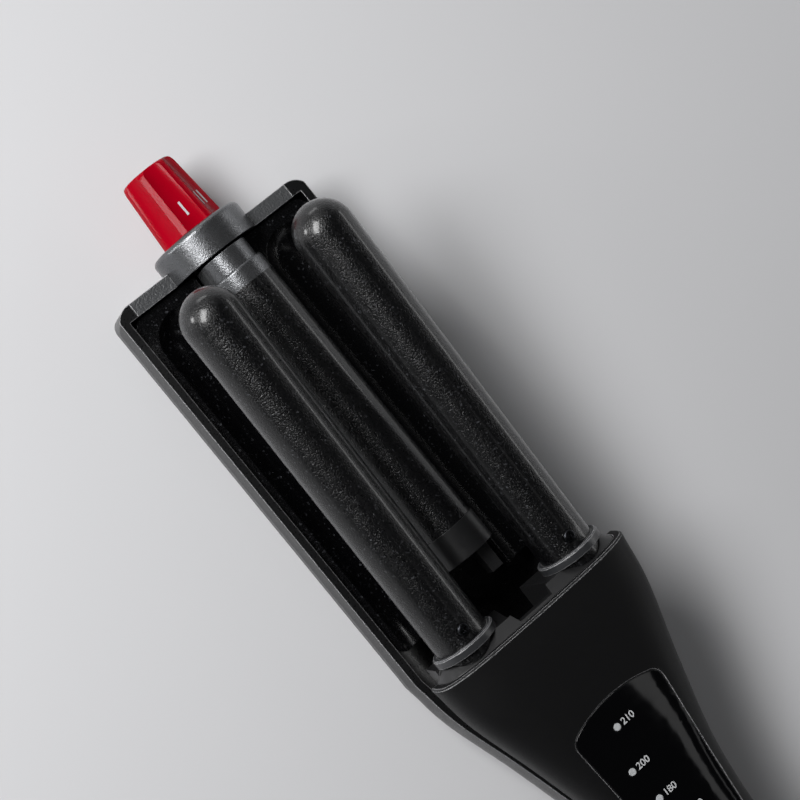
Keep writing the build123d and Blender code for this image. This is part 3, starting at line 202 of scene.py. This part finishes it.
# satin metallic paint on nylon, for the dial collar, the neck and the cap: grey, its highlight is wide
# and breaks up into a fine sparkle
satinPaint = grained(
    "satin_metallic_paint_on_nylon", {"IOR": 1.5, "Metallic": 0.85},
    ("#626365", "#6e6f71"), grain=0.38 * mm, relief=0.08 * mm, roughness=(0.24, 0.34), edge=0.35 * mm,
)

# drawn spring steel: pale, with sharp highlights along the wire or pin
springSteel = grained(
    "drawn_spring_steel", {"Metallic": 1.0},
    ("#a8aaad", "#bcbec1"), grain=0.3 * mm, relief=0.004 * mm, roughness=(0.22, 0.34), edge=0.1 * mm,
)

# black oxide on steel: dark, with a small oily highlight
blackenedSteel = grained(
    "black_oxide_on_steel", {"Metallic": 1.0},
    ("#27282b", "#36373a"), grain=0.3 * mm, relief=0.004 * mm, roughness=(0.24, 0.34), edge=0.12 * mm,
)

# galvanised sheet: cool grey with the faint spangle of the zinc
galvanisedSheet = grained(
    "galvanised_steel_sheet", {"Metallic": 1.0},
    ("#8f9295", "#b3b6b8"), grain=1.6 * mm, relief=0.004 * mm, roughness=(0.3, 0.5), patches=3 * mm,
    edge=0.15 * mm,
)

# moulded acetal: waxy off-white that lets a little light in
acetal = grained(
    "moulded_acetal", {"IOR": 1.48, "Subsurface Weight": 0.1, "Subsurface Radius": (0.001, 0.001, 0.001)},
    ("#dcdad2", "#e6e4dd"), grain=0.5 * mm, relief=0.004 * mm, roughness=(0.36, 0.46),
)

# fired alumina of the heaters: chalky and dead matt
alumina = grained(
    "fired_alumina", {"IOR": 1.76},
    ("#d8d3c8", "#e4e0d6"), grain=0.35 * mm, relief=0.006 * mm, roughness=(0.5, 0.62),
)

# glass-epoxy laminate under green solder mask: glossy over a faint weave
boardLaminate = grained(
    "solder_masked_glass_epoxy", {"IOR": 1.55, "Coat Weight": 0.4, "Coat Roughness": 0.2},
    ("#0f4a2a", "#14592f"), grain=0.9 * mm, relief=0.01 * mm, roughness=(0.3, 0.42), patches=6 * mm,
)

# moulded phenolic of the switches: plain black, half gloss
switchPhenolic = grained(
    "moulded_phenolic", {"IOR": 1.5},
    ("#18181a", "#202022"), grain=0.4 * mm, relief=0.006 * mm, roughness=(0.4, 0.5),
)

# sintered bronze, oiled: brown metal with open pores
sinteredBronze = grained(
    "oiled_sintered_bronze", {"Metallic": 1.0},
    ("#8a6436", "#9c7544"), grain=0.3 * mm, relief=0.006 * mm, roughness=(0.35, 0.5),
)

# thermoplastic rubber of the gland: black and quite matt
softRubber = grained(
    "moulded_thermoplastic_rubber", {"IOR": 1.5},
    ("#0e0e0f", "#141415"), grain=0.5 * mm, relief=0.01 * mm, roughness=(0.55, 0.66),
)

# screen-printed ink: pale grey, flat, no edge to it
printedInk = grained(
    "screen_printed_ink", {"IOR": 1.5},
    ("#b4b5b7", "#c4c5c6"), grain=0.3 * mm, relief=0.001 * mm, roughness=(0.45, 0.55), patches=2 * mm,
)

# frosted acrylic of the light pipes: milky grey while the lamps are off
frostedAcrylic = grained(
    "frosted_acrylic", {"IOR": 1.49, "Subsurface Weight": 0.2, "Subsurface Radius": (0.001, 0.001, 0.001)},
    ("#b0b2b4", "#bec0c2"), grain=0.4 * mm, relief=0.004 * mm, roughness=(0.4, 0.5),
)


ceramic = {
    "finish": {
        "IOR": 1.55, "Specular IOR Level": 0.3, "Coat Weight": 0.7, "Coat Roughness": 0.15, "Coat IOR": 1.4,
    },
    "colours": ("#030304", "#3a3b3e"),    # of the ground and of its brightest grains
    "bright": (0.84, 0.96),               # share of the grains that stay dark, and that aren't fully bright
    "fleck": 0.5 * mm,                    # the real grain is near 0.1 mm and is drawn coarser so that it shows
    "sand": 0.45 * mm,
    "edge": 0.2 * mm,
}


def ceramicCoating(name, relief, roughness):
    # sprayed ceramic on aluminium: black and sandy under a thin gloss. A small light shows sharp in the
    # gloss, and far from its mirror image the sand breaks it up into a band of grains
    material, shader, spot = newFinish(name, ceramic["finish"])
    grains = addNode(
        material, "ShaderNodeTexVoronoi", inputs={"Scale": 1 / ceramic["fleck"]}, links={"Vector": spot},
    )
    fleck = addNode(
        material, "ShaderNodeMapRange", inputs=dict(zip(rangeEnds, ceramic["bright"])),
        links={"Value": grains.outputs["Color"]},
    )
    sand = addNode(
        material, "ShaderNodeTexNoise",
        inputs={"Scale": 1 / ceramic["sand"], "Detail": 1.0}, links={"Vector": spot},
    )
    tone = addNode(
        material, "ShaderNodeMix", data_type="RGBA",
        inputs={6: toLinear(ceramic["colours"][0]), 7: toLinear(ceramic["colours"][1])},
        links={0: fleck.outputs["Result"]},
    )
    gloss = addNode(
        material, "ShaderNodeMapRange",
        inputs=dict(zip(rangeEnds, noiseSpread + roughness)),
        links={"Value": sand.outputs["Fac"]},
    )
    broken = addNode(material, "ShaderNodeBevel", samples=4, inputs={"Radius": ceramic["edge"]})
    bump = addNode(
        material, "ShaderNodeBump", inputs={"Strength": 1.0, "Distance": relief},
        links={"Height": sand.outputs["Fac"], "Normal": broken.outputs["Normal"]},
    )
    material.node_tree.links.new(tone.outputs[2], shader.inputs["Base Color"])
    material.node_tree.links.new(gloss.outputs["Result"], shader.inputs["Roughness"])
    material.node_tree.links.new(bump.outputs["Normal"], shader.inputs["Normal"])
    material.node_tree.links.new(broken.outputs["Normal"], shader.inputs["Coat Normal"])
    return material


panelGloss = {
    "finish": {"IOR": 1.58, "Base Color": toLinear("#040405")},
    "peel": 4 * mm,              # from one swell of the orange peel to the next
    "relief": 0.01 * mm,
    "roughness": (0.04, 0.08),
    "edge": 0.5 * mm,
}


def polishedPanel():
    # polished polycarbonate lens: deep black with a clear mirror image, only a trace of orange peel
    material, shader, spot = newFinish("polished_black_polycarbonate", panelGloss["finish"])
    peel = addNode(
        material, "ShaderNodeTexNoise",
        inputs={"Scale": 1 / panelGloss["peel"], "Detail": 1.0}, links={"Vector": spot},
    )
    gloss = addNode(
        material, "ShaderNodeMapRange",
        inputs=dict(zip(rangeEnds, noiseSpread + panelGloss["roughness"])),
        links={"Value": peel.outputs["Fac"]},
    )
    broken = addNode(material, "ShaderNodeBevel", samples=4, inputs={"Radius": panelGloss["edge"]})
    bump = addNode(
        material, "ShaderNodeBump", inputs={"Strength": 0.6, "Distance": panelGloss["relief"]},
        links={"Height": peel.outputs["Fac"], "Normal": broken.outputs["Normal"]},
    )
    material.node_tree.links.new(gloss.outputs["Result"], shader.inputs["Roughness"])
    material.node_tree.links.new(bump.outputs["Normal"], shader.inputs["Normal"])
    return material


ceramicCoat = ceramicCoating("sprayed_ceramic_coating", 0.19 * mm, (0.26, 0.38))
plateCoat = ceramicCoating("smooth_ceramic_coating", 0.03 * mm, (0.2, 0.32))
polishedBlack = polishedPanel()

# lacquered ABS of the dial: a deep saturated red, smooth, so that only its ribs carry pale lines
redLacquer = grained(
    "red_lacquer_on_abs", {"IOR": 1.45, "Specular IOR Level": 0.09},
    ("#8e0013", "#9b0219"), grain=0.4 * mm, relief=0.003 * mm, roughness=(0.14, 0.2), patches=5 * mm,
    edge=0.3 * mm,
)

finishes = {
    "upper_housing": softTouchPaint,
    "lower_housing": plainPolycarbonate,
    "upper_inner_cover": sulphide,
    "lower_inner_cover": sulphide,
    "front_plate": sulphide,
    "left_barrel": ceramicCoat,
    "right_barrel": ceramicCoat,
    "middle_barrel": ceramicCoat,
    "left_collar": collarSulphide,
    "right_collar": collarSulphide,
    "barrel_cap": satinPaint,
    "dial_collar": satinPaint,
    "front_carrier": satinPaint,
    "rear_carrier": sulphide,
    "trough_plate": plateCoat,
    "end_plate": grainedNylon,
    "control_panel": polishedBlack,
    "power_button": sulphide,
    "temperature_button": sulphide,
    "indicator_lenses": frostedAcrylic,
    "dial": redLacquer,
    "barrel_screws": blackenedSteel,
    "plate_screws": blackenedSteel,
    "upper_cover_screws": blackenedSteel,
    "lower_cover_screws": blackenedSteel,
    "outer_barrel_heaters": alumina,
    "middle_heater": alumina,
    "trough_heaters": alumina,
    "circuit_board": boardLaminate,
    "tact_switches": switchPhenolic,
    "lift_bar": galvanisedSheet,
    "carrier_pins": springSteel,
    "guide_pins": springSteel,
    "follower_pin": springSteel,
    "detent_ball": springSteel,
    "detent_spring": springSteel,
    "cam_sleeve": acetal,
    "hinge_pin": springSteel,
    "hinge_bush": sinteredBronze,
    "hinge_washers": acetal,
    "hinge_springs": springSteel,
    "swivel_gland": softRubber,
    "gland_clip": springSteel,
}
for name, material in finishes.items():
    nodes[name].data.materials.clear()
    nodes[name].data.materials.append(material)
missing = sorted(set(nodes) - set(finishes))
print("finishes given,", len(finishes), "nodes, without one:", missing)


def newPiece(name, mesh, material, body):
    piece = bpy.data.objects.new(name, mesh)
    bpy.context.scene.collection.objects.link(piece)
    mesh.materials.append(material)
    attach(piece, body)
    return piece


def surfaceOf(*names):
    # the surfaces of some nodes in one tree, for laying print on them
    vertices, faces = [], []
    for name in names:
        start = len(vertices)
        mesh = nodes[name].data
        vertices += [v.co.copy() for v in mesh.vertices]
        faces += [[start + i for i in face.vertices] for face in mesh.polygons]
    return BVHTree.FromPolygons(vertices, faces)


panelPrint = {
    # number, place and side of its lens in mm
    "numbers": [("210", -46.5, 3.8), ("200", -59.6, 8.3), ("180", -71.0, 6.6), ("160", -80.5, 3.2)],
    "height": 2.2 * mm,
    "capShare": 0.72,     # a digit's height in the built-in face, as a share of the face's size
    "bolder": 0.025,      # the print is a little bolder than that face, as a share of the height
    "gap": 1.9 * mm,      # from the middle of a lens to its number
    "lift": 0.03 * mm,    # thickness of the ink
    "clear": 60 * mm,     # a level above the whole upper arm
}


def inkShape(text, height):
    # the flat outline of some digits, as wide as the built-in face draws them, standing along +Y
    curve = bpy.data.curves.new("digits", "FONT")
    curve.body = text
    curve.size = height / panelPrint["capShare"]
    curve.offset = height * panelPrint["bolder"]
    curve.align_x = "LEFT"
    curve.align_y = "CENTER"
    holder = bpy.data.objects.new("digits", curve)
    bpy.context.scene.collection.objects.link(holder)
    bpy.context.view_layer.update()
    mesh = bpy.data.meshes.new_from_object(holder.evaluated_get(bpy.context.evaluated_depsgraph_get()))
    bpy.data.objects.remove(holder)
    bpy.data.curves.remove(curve)
    return mesh


def layOn(mesh, surface, place, side, lift):
    # drops a flat outline on a curved surface of the upper arm: its +Y points to the tip, its +X to the right
    for vertex in mesh.vertices:
        start = onUpper(place + vertex.co.y, side - vertex.co.x, panelPrint["clear"])
        vertex.co = surface.ray_cast(start, -upperUp)[0] + upperUp * lift


panelTop = surfaceOf("control_panel", "indicator_lenses")
for text, place, side in panelPrint["numbers"]:
    digits = inkShape(text, panelPrint["height"])
    layOn(digits, panelTop, place * mm, side * mm - panelPrint["gap"], panelPrint["lift"])
    newPiece("number_" + text, digits, printedInk, "upper_arm")
print("panel printed")

keySigns = {
    "power": {
        "node": "power_button", "body": "power_key", "place": -108 * mm,
        "radius": 1.7 * mm, "line": 0.36 * mm,
        "opening": math.radians(34),     # half the gap of the ring
        "bar": (0.1, 1.25),              # ends of the bar, as shares of the radius
        "steps": (40, 8),                # of the ring and of the bar
    },
    "degrees": {
        "node": "temperature_button", "body": "temperature_key", "place": -92 * mm,
        "height": 2.6 * mm,
    },
    "lift": 0.03 * mm,
}


def ribbonFaces(shape, rows):
    # joins each row of points to the next one with faces
    for low, high in zip(rows, rows[1:]):
        for i in range(len(low) - 1):
            shape.faces.new((low[i], low[i + 1], high[i + 1], high[i]))


def powerSign(sign):
    # an open ring with a bar in its gap, flat, +Y towards the tip
    shape = bmesh.new()
    radius, half = sign["radius"], sign["line"] / 2
    start, sweep = math.pi / 2 + sign["opening"], 2 * math.pi - 2 * sign["opening"]
    ringSteps, barSteps = sign["steps"]
    rows = []
    for i in range(ringSteps + 1):
        turn = start + sweep * i / ringSteps
        sides = (radius - half, radius + half)
        rows.append([shape.verts.new((r * math.cos(turn), r * math.sin(turn), 0)) for r in sides])
    ribbonFaces(shape, rows)
    rows = []
    low, high = sign["bar"]
    for i in range(barSteps + 1):
        y = radius * (low + (high - low) * i / barSteps)
        rows.append([shape.verts.new((x, y, 0)) for x in (-half, half)])
    ribbonFaces(shape, rows)
    mesh = bpy.data.meshes.new("power_sign")
    shape.to_mesh(mesh)
    shape.free()
    return mesh


sign = keySigns["power"]
mark = powerSign(sign)
layOn(mark, surfaceOf(sign["node"]), sign["place"], 0, keySigns["lift"])
newPiece("power_sign", mark, printedInk, sign["body"])
sign = keySigns["degrees"]
mark = inkShape("°C", sign["height"])
width = max(vertex.co.x for vertex in mark.vertices)
layOn(mark, surfaceOf(sign["node"]), sign["place"], width / 2, keySigns["lift"])
newPiece("degree_sign", mark, printedInk, sign["body"])
print("buttons marked")

dialMarks = {
    "level": 17.6 * mm,               # of the dial's axis
    "rear": 140.7 * mm,               # place of its rear end
    "length": 22.6 * mm,
    "radii": (10.9 * mm, 9.2 * mm),   # at the rear and at the tip
    "depth": 1.35 * mm,               # of a flute
    "fluteHalf": math.radians(20.0),
    "step": math.radians(360 / 7),    # from one flute to the next
    "span": (4.0 * mm, 8.9 * mm),     # ends of a bar, from the rear of the dial
    "barWidth": 0.7 * mm,
    "barPitch": 2.4 * mm,
    "rows": 6,                        # points along a bar
    "lift": 0.04 * mm,
    "first": math.radians(90),        # where mark I stands, on top
}


def flutePoint(turn, along, across, lift):
    # a point on the hollow of a flute, some way along the dial and some way across the flute
    m = dialMarks
    radius = m["radii"][0] + (m["radii"][1] - m["radii"][0]) * along / m["length"]
    hollow = radius - m["depth"]
    rise = radius * math.cos(m["fluteHalf"]) - hollow
    reach = radius * math.sin(m["fluteHalf"])
    bend = (reach ** 2 + rise ** 2) / (2 * rise)
    out = hollow + bend - math.sqrt(bend ** 2 - across ** 2) + lift
    y = out * math.cos(turn) - across * math.sin(turn)
    z = out * math.sin(turn) + across * math.cos(turn)
    return onLower(m["rear"] + along, y, m["level"] + z)


def tallyMark(name, bars, turn):
    m = dialMarks
    shape = bmesh.new()
    for bar in range(bars):
        middle = (bar - (bars - 1) / 2) * m["barPitch"]
        rows = []
        for i in range(m["rows"]):
            along = m["span"][0] + (m["span"][1] - m["span"][0]) * i / (m["rows"] - 1)
            sides = [middle + m["barWidth"] / 2, middle, middle - m["barWidth"] / 2]
            rows.append([shape.verts.new(flutePoint(turn, along, side, m["lift"])) for side in sides])
        ribbonFaces(shape, rows)
    mesh = bpy.data.meshes.new(name)
    shape.to_mesh(mesh)
    shape.free()
    newPiece(name, mesh, printedInk, "depth_dial")


for count in (1, 2, 3):
    tallyMark("dial_mark_" + str(count), count, dialMarks["first"] + (count - 1) * dialMarks["step"])
print("dial marked")


# screws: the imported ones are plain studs, so each group is drawn again with its cross and its thread,
# on the same seats. A spot is the middle of a head's face and the way that the face looks
crossScrews = {
    "barrel_screws": {
        "body": "upper_arm", "material": blackenedSteel,
        "head": 1.9 * mm, "height": 1.3 * mm, "shank": 1.0 * mm, "length": 5.3 * mm, "pitch": 0.4 * mm,
        "spots": [(onUpper(4 * mm, side * mm, 34.9 * mm), upperUp) for side in (21, -21)],
    },
    "upper_cover_screws": {
        "body": "upper_arm", "material": blackenedSteel,
        "head": 2.5 * mm, "height": 1.2 * mm, "shank": 1.3 * mm, "length": 8.0 * mm, "pitch": 0.9 * mm,
        "spots": [
            (onUpper(place * mm, side * mm, 22.1 * mm), -upperUp)
            for place, side in ((-34, 15), (-34, -15), (-150, 0))
        ],
    },
    "lower_cover_screws": {
        "body": "lower_arm", "material": blackenedSteel,
        "head": 2.5 * mm, "height": 1.2 * mm, "shank": 1.3 * mm, "length": 8.0 * mm, "pitch": 0.9 * mm,
        "spots": [
            (onLower(place * mm, side * mm, 21.8 * mm), Vector((0, 0, 1)))
            for place, side in ((-34, 15), (-34, -15), (-150, 0))
        ],
    },
    "plate_screws": {
        "body": "lower_arm", "material": blackenedSteel,
        "head": 2.5 * mm, "height": 1.2 * mm, "shank": 1.2 * mm, "length": 12.0 * mm, "pitch": 0.8 * mm,
        "spots": [
            (onLower(place * mm, side * mm, 0.4 * mm), Vector((0, 0, -1)))
            for place in (34, 108) for side in (8.6, -8.6)
        ],
    },
}


screwForm = {
    # the head's outline from its middle outwards: radius and height as shares of the screw's own
    "pan": ((0, 0), (0.55, -0.03), (0.8, -0.12), (0.94, -0.3), (1, -0.55), (1, -1), (0, -1)),
    "panSteps": 40,               # points round the head
    "arm": (0.62, 0.15),          # half length and half width of the cross, as shares of the head's radius
    "crossEnds": (0.2, -0.72),    # heights where the cross starts and ends, as shares of the head's height
    "crossDraw": 0.62,            # the cross narrows to this share at its foot
    "threadSteps": 16,            # points round the thread
    "pitchSteps": 4,              # rows of points in one pitch
    "threadDepth": 0.14,          # share of the shank's radius that the thread swings through
    "pointLength": 1.0 * mm,
    "pointDraw": 0.35,            # the point narrows by this share
    "smoothUnder": math.radians(35),
    "turns": (23, 47),            # degrees that the first cross is turned, and each next one more
}


def revolved(shape, outline, steps):
    # rings of points round Z from (radius, height) pairs; a radius of zero closes an end
    rings = []
    for radius, high in outline:
        if radius == 0:
            rings.append([shape.verts.new((0, 0, high))])
        else:
            turns = [2 * math.pi * i / steps for i in range(steps)]
            rings.append([shape.verts.new((radius * math.cos(t), radius * math.sin(t), high)) for t in turns])
    for low, high in zip(rings, rings[1:]):
        for i in range(steps):
            j = (i + 1) % steps
            corners = [low[i % len(low)], low[j % len(low)], high[j % len(high)], high[i % len(high)]]
            shape.faces.new(sorted(set(corners), key=corners.index))


def solidFrom(shape, name):
    # the finished shape as an object, its faces all turned outwards
    bmesh.ops.recalc_face_normals(shape, faces=shape.faces)
    mesh = bpy.data.meshes.new(name)
    shape.to_mesh(mesh)
    shape.free()
    holder = bpy.data.objects.new(name, mesh)
    bpy.context.scene.collection.objects.link(holder)
    return holder


def screwHead(screw):
    # pan head with its outer face at the origin, and a tapered cross pressed into it
    radius, height = screw["head"], screw["height"]
    shape = bmesh.new()
    revolved(shape, [(out * radius, up * height) for out, up in screwForm["pan"]], screwForm["panSteps"])
    head = solidFrom(shape, "head")
    shape = bmesh.new()
    top, foot = screwForm["crossEnds"]
    for along, across in (screwForm["arm"], screwForm["arm"][::-1]):
        rows = []
        for up, draw in ((top, 1.0), (foot, screwForm["crossDraw"])):
            reach, width = along * draw * radius, across * draw * radius
            corners = ((1, 1), (-1, 1), (-1, -1), (1, -1))
            rows.append([shape.verts.new((x * reach, y * width, up * height)) for x, y in corners])
        shape.faces.new(rows[0])
        shape.faces.new(rows[1][::-1])
        for i in range(4):
            j = (i + 1) % 4
            shape.faces.new((rows[0][j], rows[0][i], rows[1][i], rows[1][j]))
    cross = solidFrom(shape, "cross")
    press = head.modifiers.new("cross", "BOOLEAN")
    press.object = cross
    press.solver = "EXACT"
    press.use_self = True
    bpy.context.view_layer.update()
    mesh = bpy.data.meshes.new_from_object(head.evaluated_get(bpy.context.evaluated_depsgraph_get()))
    bpy.data.objects.remove(head)
    bpy.data.objects.remove(cross)
    return mesh


def screwShank(screw):
    # cut thread below the head: the radius swings once in each pitch, and the end is drawn in
    steps, depth, point = screwForm["threadSteps"], screwForm["threadDepth"], screwForm["pointLength"]
    top, foot = -screw["height"], -screw["length"]
    rows = int((top - foot) / (screw["pitch"] / screwForm["pitchSteps"]))
    shape = bmesh.new()
    rings = []
    for row in range(rows + 1):
        high = top + (foot - top) * row / rows
        ring = []
        for i in range(steps):
            phase = (high / screw["pitch"] + i / steps) % 1
            draw = 1 - min(1, max(0, (foot + point - high) / point)) * screwForm["pointDraw"]
            radius = screw["shank"] * draw * (1 - depth + depth * abs(2 * phase - 1))
            turn = 2 * math.pi * i / steps
            ring.append(shape.verts.new((radius * math.cos(turn), radius * math.sin(turn), high)))
        rings.append(ring)
    for low, high in zip(rings, rings[1:]):
        for i in range(steps):
            j = (i + 1) % steps
            shape.faces.new((low[i], low[j], high[j], high[i]))
    shape.faces.new(rings[0])
    shape.faces.new(rings[-1][::-1])
    shank = solidFrom(shape, "shank")
    mesh = shank.data
    bpy.data.objects.remove(shank)
    return mesh


def placedScrews(name, screw):
    # one mesh for the whole group, each screw tightened to a turn of its own
    whole = bmesh.new()
    head, shank = screwHead(screw), screwShank(screw)
    first, more = screwForm["turns"]
    for count, (spot, outward) in enumerate(screw["spots"]):
        turn = Matrix.Rotation(math.radians(first + more * count), 4, "Z")
        stand = Matrix.Translation(spot) @ outward.to_track_quat("Z", "X").to_matrix().to_4x4() @ turn
        for part in (head, shank):
            copy = part.copy()
            copy.transform(stand)
            whole.from_mesh(copy)
    mesh = bpy.data.meshes.new(name)
    whole.to_mesh(mesh)
    whole.free()
    mesh.shade_smooth()
    mesh.set_sharp_from_angle(angle=screwForm["smoothUnder"])
    return mesh


for group, screw in crossScrews.items():
    name = "cross_" + group
    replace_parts(newPiece(name, placedScrews(name, screw), screw["material"], screw["body"]), group)
print("screws drawn,", sum(len(screw["spots"]) for screw in crossScrews.values()))

studio = {
    "floorColours": ("#cacacc", "#cfcfd1"),
    "floorSize": 60.0,
    "floorDrop": 0.0003,       # the floor lies this far under the part, so the two faces don't share a plane
    "clouds": 0.4,             # metres from one cloud of fibre to the next
    "horizon": "#c9cacc",
    # metres from the part's middle where the lit floor starts and ends turning into the backdrop's tone
    "fade": (0.2, 0.55),
    "ceiling": "#202122",
    "glow": (0.05, 0.42),      # sines of the heights where the pale horizon starts and ends turning dark
}
floorMesh = bpy.data.meshes.new("floor")
half = studio["floorSize"] / 2
corners = [(x * half, y * half, 0) for x, y in ((-1, -1), (1, -1), (1, 1), (-1, 1))]
floorMesh.from_pydata(corners, [], [(0, 1, 2, 3)])
floor = bpy.data.objects.new("floor", floorMesh)
floor.location.z = -studio["floorDrop"]
bpy.context.scene.collection.objects.link(floor)

# matt paper: pale, even, with barely seen clouds of fibre
paper, paperShader, paperSpot = newFinish("matt_paper", {"Roughness": 0.9, "IOR": 1.4})
fibres = addNode(
    paper, "ShaderNodeTexNoise",
    inputs={"Scale": 1 / studio["clouds"], "Detail": 2.0}, links={"Vector": paperSpot},
)
paperTone = addNode(
    paper, "ShaderNodeMix", data_type="RGBA",
    inputs={6: toLinear(studio["floorColours"][0]), 7: toLinear(studio["floorColours"][1])},
    links={0: fibres.outputs["Fac"]},
)
paper.node_tree.links.new(paperTone.outputs[2], paperShader.inputs["Base Color"])

# far from the part, where no lamp reaches, the floor shows the backdrop's own tone, to the eye and in
# reflections
place = addNode(paper, "ShaderNodeVectorMath", operation="LENGTH", links={0: paperSpot})
far = addNode(
    paper, "ShaderNodeMapRange", interpolation_type="SMOOTHSTEP",
    inputs=dict(zip(rangeEnds, studio["fade"])), links={"Value": place.outputs["Value"]},
)
path = addNode(paper, "ShaderNodeLightPath")
seen = addNode(
    paper, "ShaderNodeMath", operation="MAXIMUM",
    links={0: path.outputs["Is Camera Ray"], 1: path.outputs["Is Glossy Ray"]},
)
seen = addNode(
    paper, "ShaderNodeMath", operation="MAXIMUM",
    links={0: seen.outputs["Value"], 1: path.outputs["Is Transmission Ray"]},
)
share = addNode(
    paper, "ShaderNodeMath", operation="MULTIPLY", links={0: seen.outputs["Value"], 1: far.outputs["Result"]},
)
backdrop = addNode(paper, "ShaderNodeEmission", inputs={"Color": toLinear(studio["horizon"]), "Strength": 1.0})
floorShown = addNode(
    paper, "ShaderNodeMixShader",
    links={0: share.outputs["Value"], 1: paperShader.outputs["BSDF"], 2: backdrop.outputs["Emission"]},
)
paperOutput = next(node for node in paper.node_tree.nodes if node.type == "OUTPUT_MATERIAL")
paper.node_tree.links.new(floorShown.outputs["Shader"], paperOutput.inputs["Surface"])
floorMesh.materials.append(paper)

# the room: pale at eye level and dark overhead, so the black tops stay black
world = bpy.data.worlds.new("studio")
bpy.context.scene.world = world
world.use_nodes = True
world.node_tree.nodes.clear()
outlook = addNode(world, "ShaderNodeTexCoord")
parts = addNode(world, "ShaderNodeSeparateXYZ", links={"Vector": outlook.outputs["Generated"]})
height = addNode(
    world, "ShaderNodeMapRange", interpolation_type="SMOOTHSTEP",
    inputs=dict(zip(rangeEnds, studio["glow"])), links={"Value": parts.outputs["Z"]},
)
room = addNode(
    world, "ShaderNodeMix", data_type="RGBA",
    inputs={6: toLinear(studio["horizon"]), 7: toLinear(studio["ceiling"])},
    links={0: height.outputs["Result"]},
)
walls = addNode(world, "ShaderNodeBackground", inputs={"Strength": 1.0}, links={"Color": room.outputs[2]})
addNode(world, "ShaderNodeOutputWorld", links={"Surface": walls.outputs["Background"]})

# each lamp's place in degrees round from the tip and up from the floor, metres off, the point that it
# faces, its size in metres, and its watts
softboxes = {
    # the main light, beyond the tip on the left: the bright spots on the domes and the bands of grains
    "tip_softbox": {
        "turn": 48, "rise": 50, "away": 0.85, "aim": (0.13, 0.0, 0.04), "size": (0.6, 0.28), "watts": 9.4,
    },
    # the second, smaller spot low on each dome
    "low_softbox": {
        "turn": 56, "rise": 10, "away": 0.9, "aim": (0.12, 0.0, 0.03), "size": (0.2, 0.16), "watts": 1.9,
    },
    # opens up the fronts that face the tip
    "tip_fill": {
        "turn": -15, "rise": 35, "away": 1.2, "aim": (0.08, 0.0, 0.03), "size": (0.9, 0.7), "watts": 0.5,
    },
    # the same, just over the floor
    "tip_low": {
        "turn": -8, "rise": 8, "away": 0.9, "aim": (0.08, 0.0, 0.03), "size": (0.4, 0.14), "watts": 0.7,
    },
    # a line of light along the right flanks
    "right_strip": {
        "turn": -100, "rise": 17, "away": 1.2, "aim": (0.03, 0.0, 0.02), "size": (1.3, 0.12), "watts": 1.8,
    },
    # the pale stripe in the polished panel
    "rear_strip": {
        "turn": -136, "rise": 57, "away": 1.1, "aim": (-0.02, 0.0, 0.04), "size": (0.07, 0.8), "watts": 0.1,
    },
    # the thin line beside that stripe
    "side_strip": {
        "turn": -126, "rise": 48, "away": 1.1, "aim": (-0.02, 0.0, 0.04), "size": (0.025, 0.8), "watts": 0.03,
    },
}
for name, box in softboxes.items():
    lamp = bpy.data.lights.new(name, "AREA")
    lamp.shape = "RECTANGLE"
    lamp.size, lamp.size_y = box["size"]
    lamp.energy = box["watts"]
    turn, rise = math.radians(box["turn"]), math.radians(box["rise"])
    toward = Vector((math.cos(turn) * math.cos(rise), math.sin(turn) * math.cos(rise), math.sin(rise)))
    holder = bpy.data.objects.new(name, lamp)
    holder.location = Vector(box["aim"]) + toward * box["away"]
    holder.rotation_euler = (-toward).to_track_quat("-Z", "Y").to_euler()
    holder.visible_camera = False
    bpy.context.scene.collection.objects.link(holder)

lookout = {
    # fitted to the outlines in the photograph: where it stands, which way its right and its top point
    "spot": (0.10905, 0.15859, 0.62645),
    "right": (-0.62980, -0.73900, 0.23924),
    "up": (0.77576, -0.61405, 0.14540),
    "lens": 93.987,
    "sensor": 36.0,
    "clip": (0.01, 60.0),
}
cameraData = bpy.data.cameras.new("camera")
cameraData.sensor_width = lookout["sensor"]
cameraData.lens = lookout["lens"]
cameraData.clip_start, cameraData.clip_end = lookout["clip"]
camera = bpy.data.objects.new("camera", cameraData)
right = Vector(lookout["right"]).normalized()
up = Vector(lookout["up"])
up = (up - right * up.dot(right)).normalized()
back = right.cross(up)
camera.matrix_world = Matrix.Translation(lookout["spot"]) @ Matrix((right, up, back)).transposed().to_4x4()
bpy.context.scene.collection.objects.link(camera)
bpy.context.scene.camera = camera
bpy.context.scene.view_settings.view_transform = "Standard"
print("studio ready")
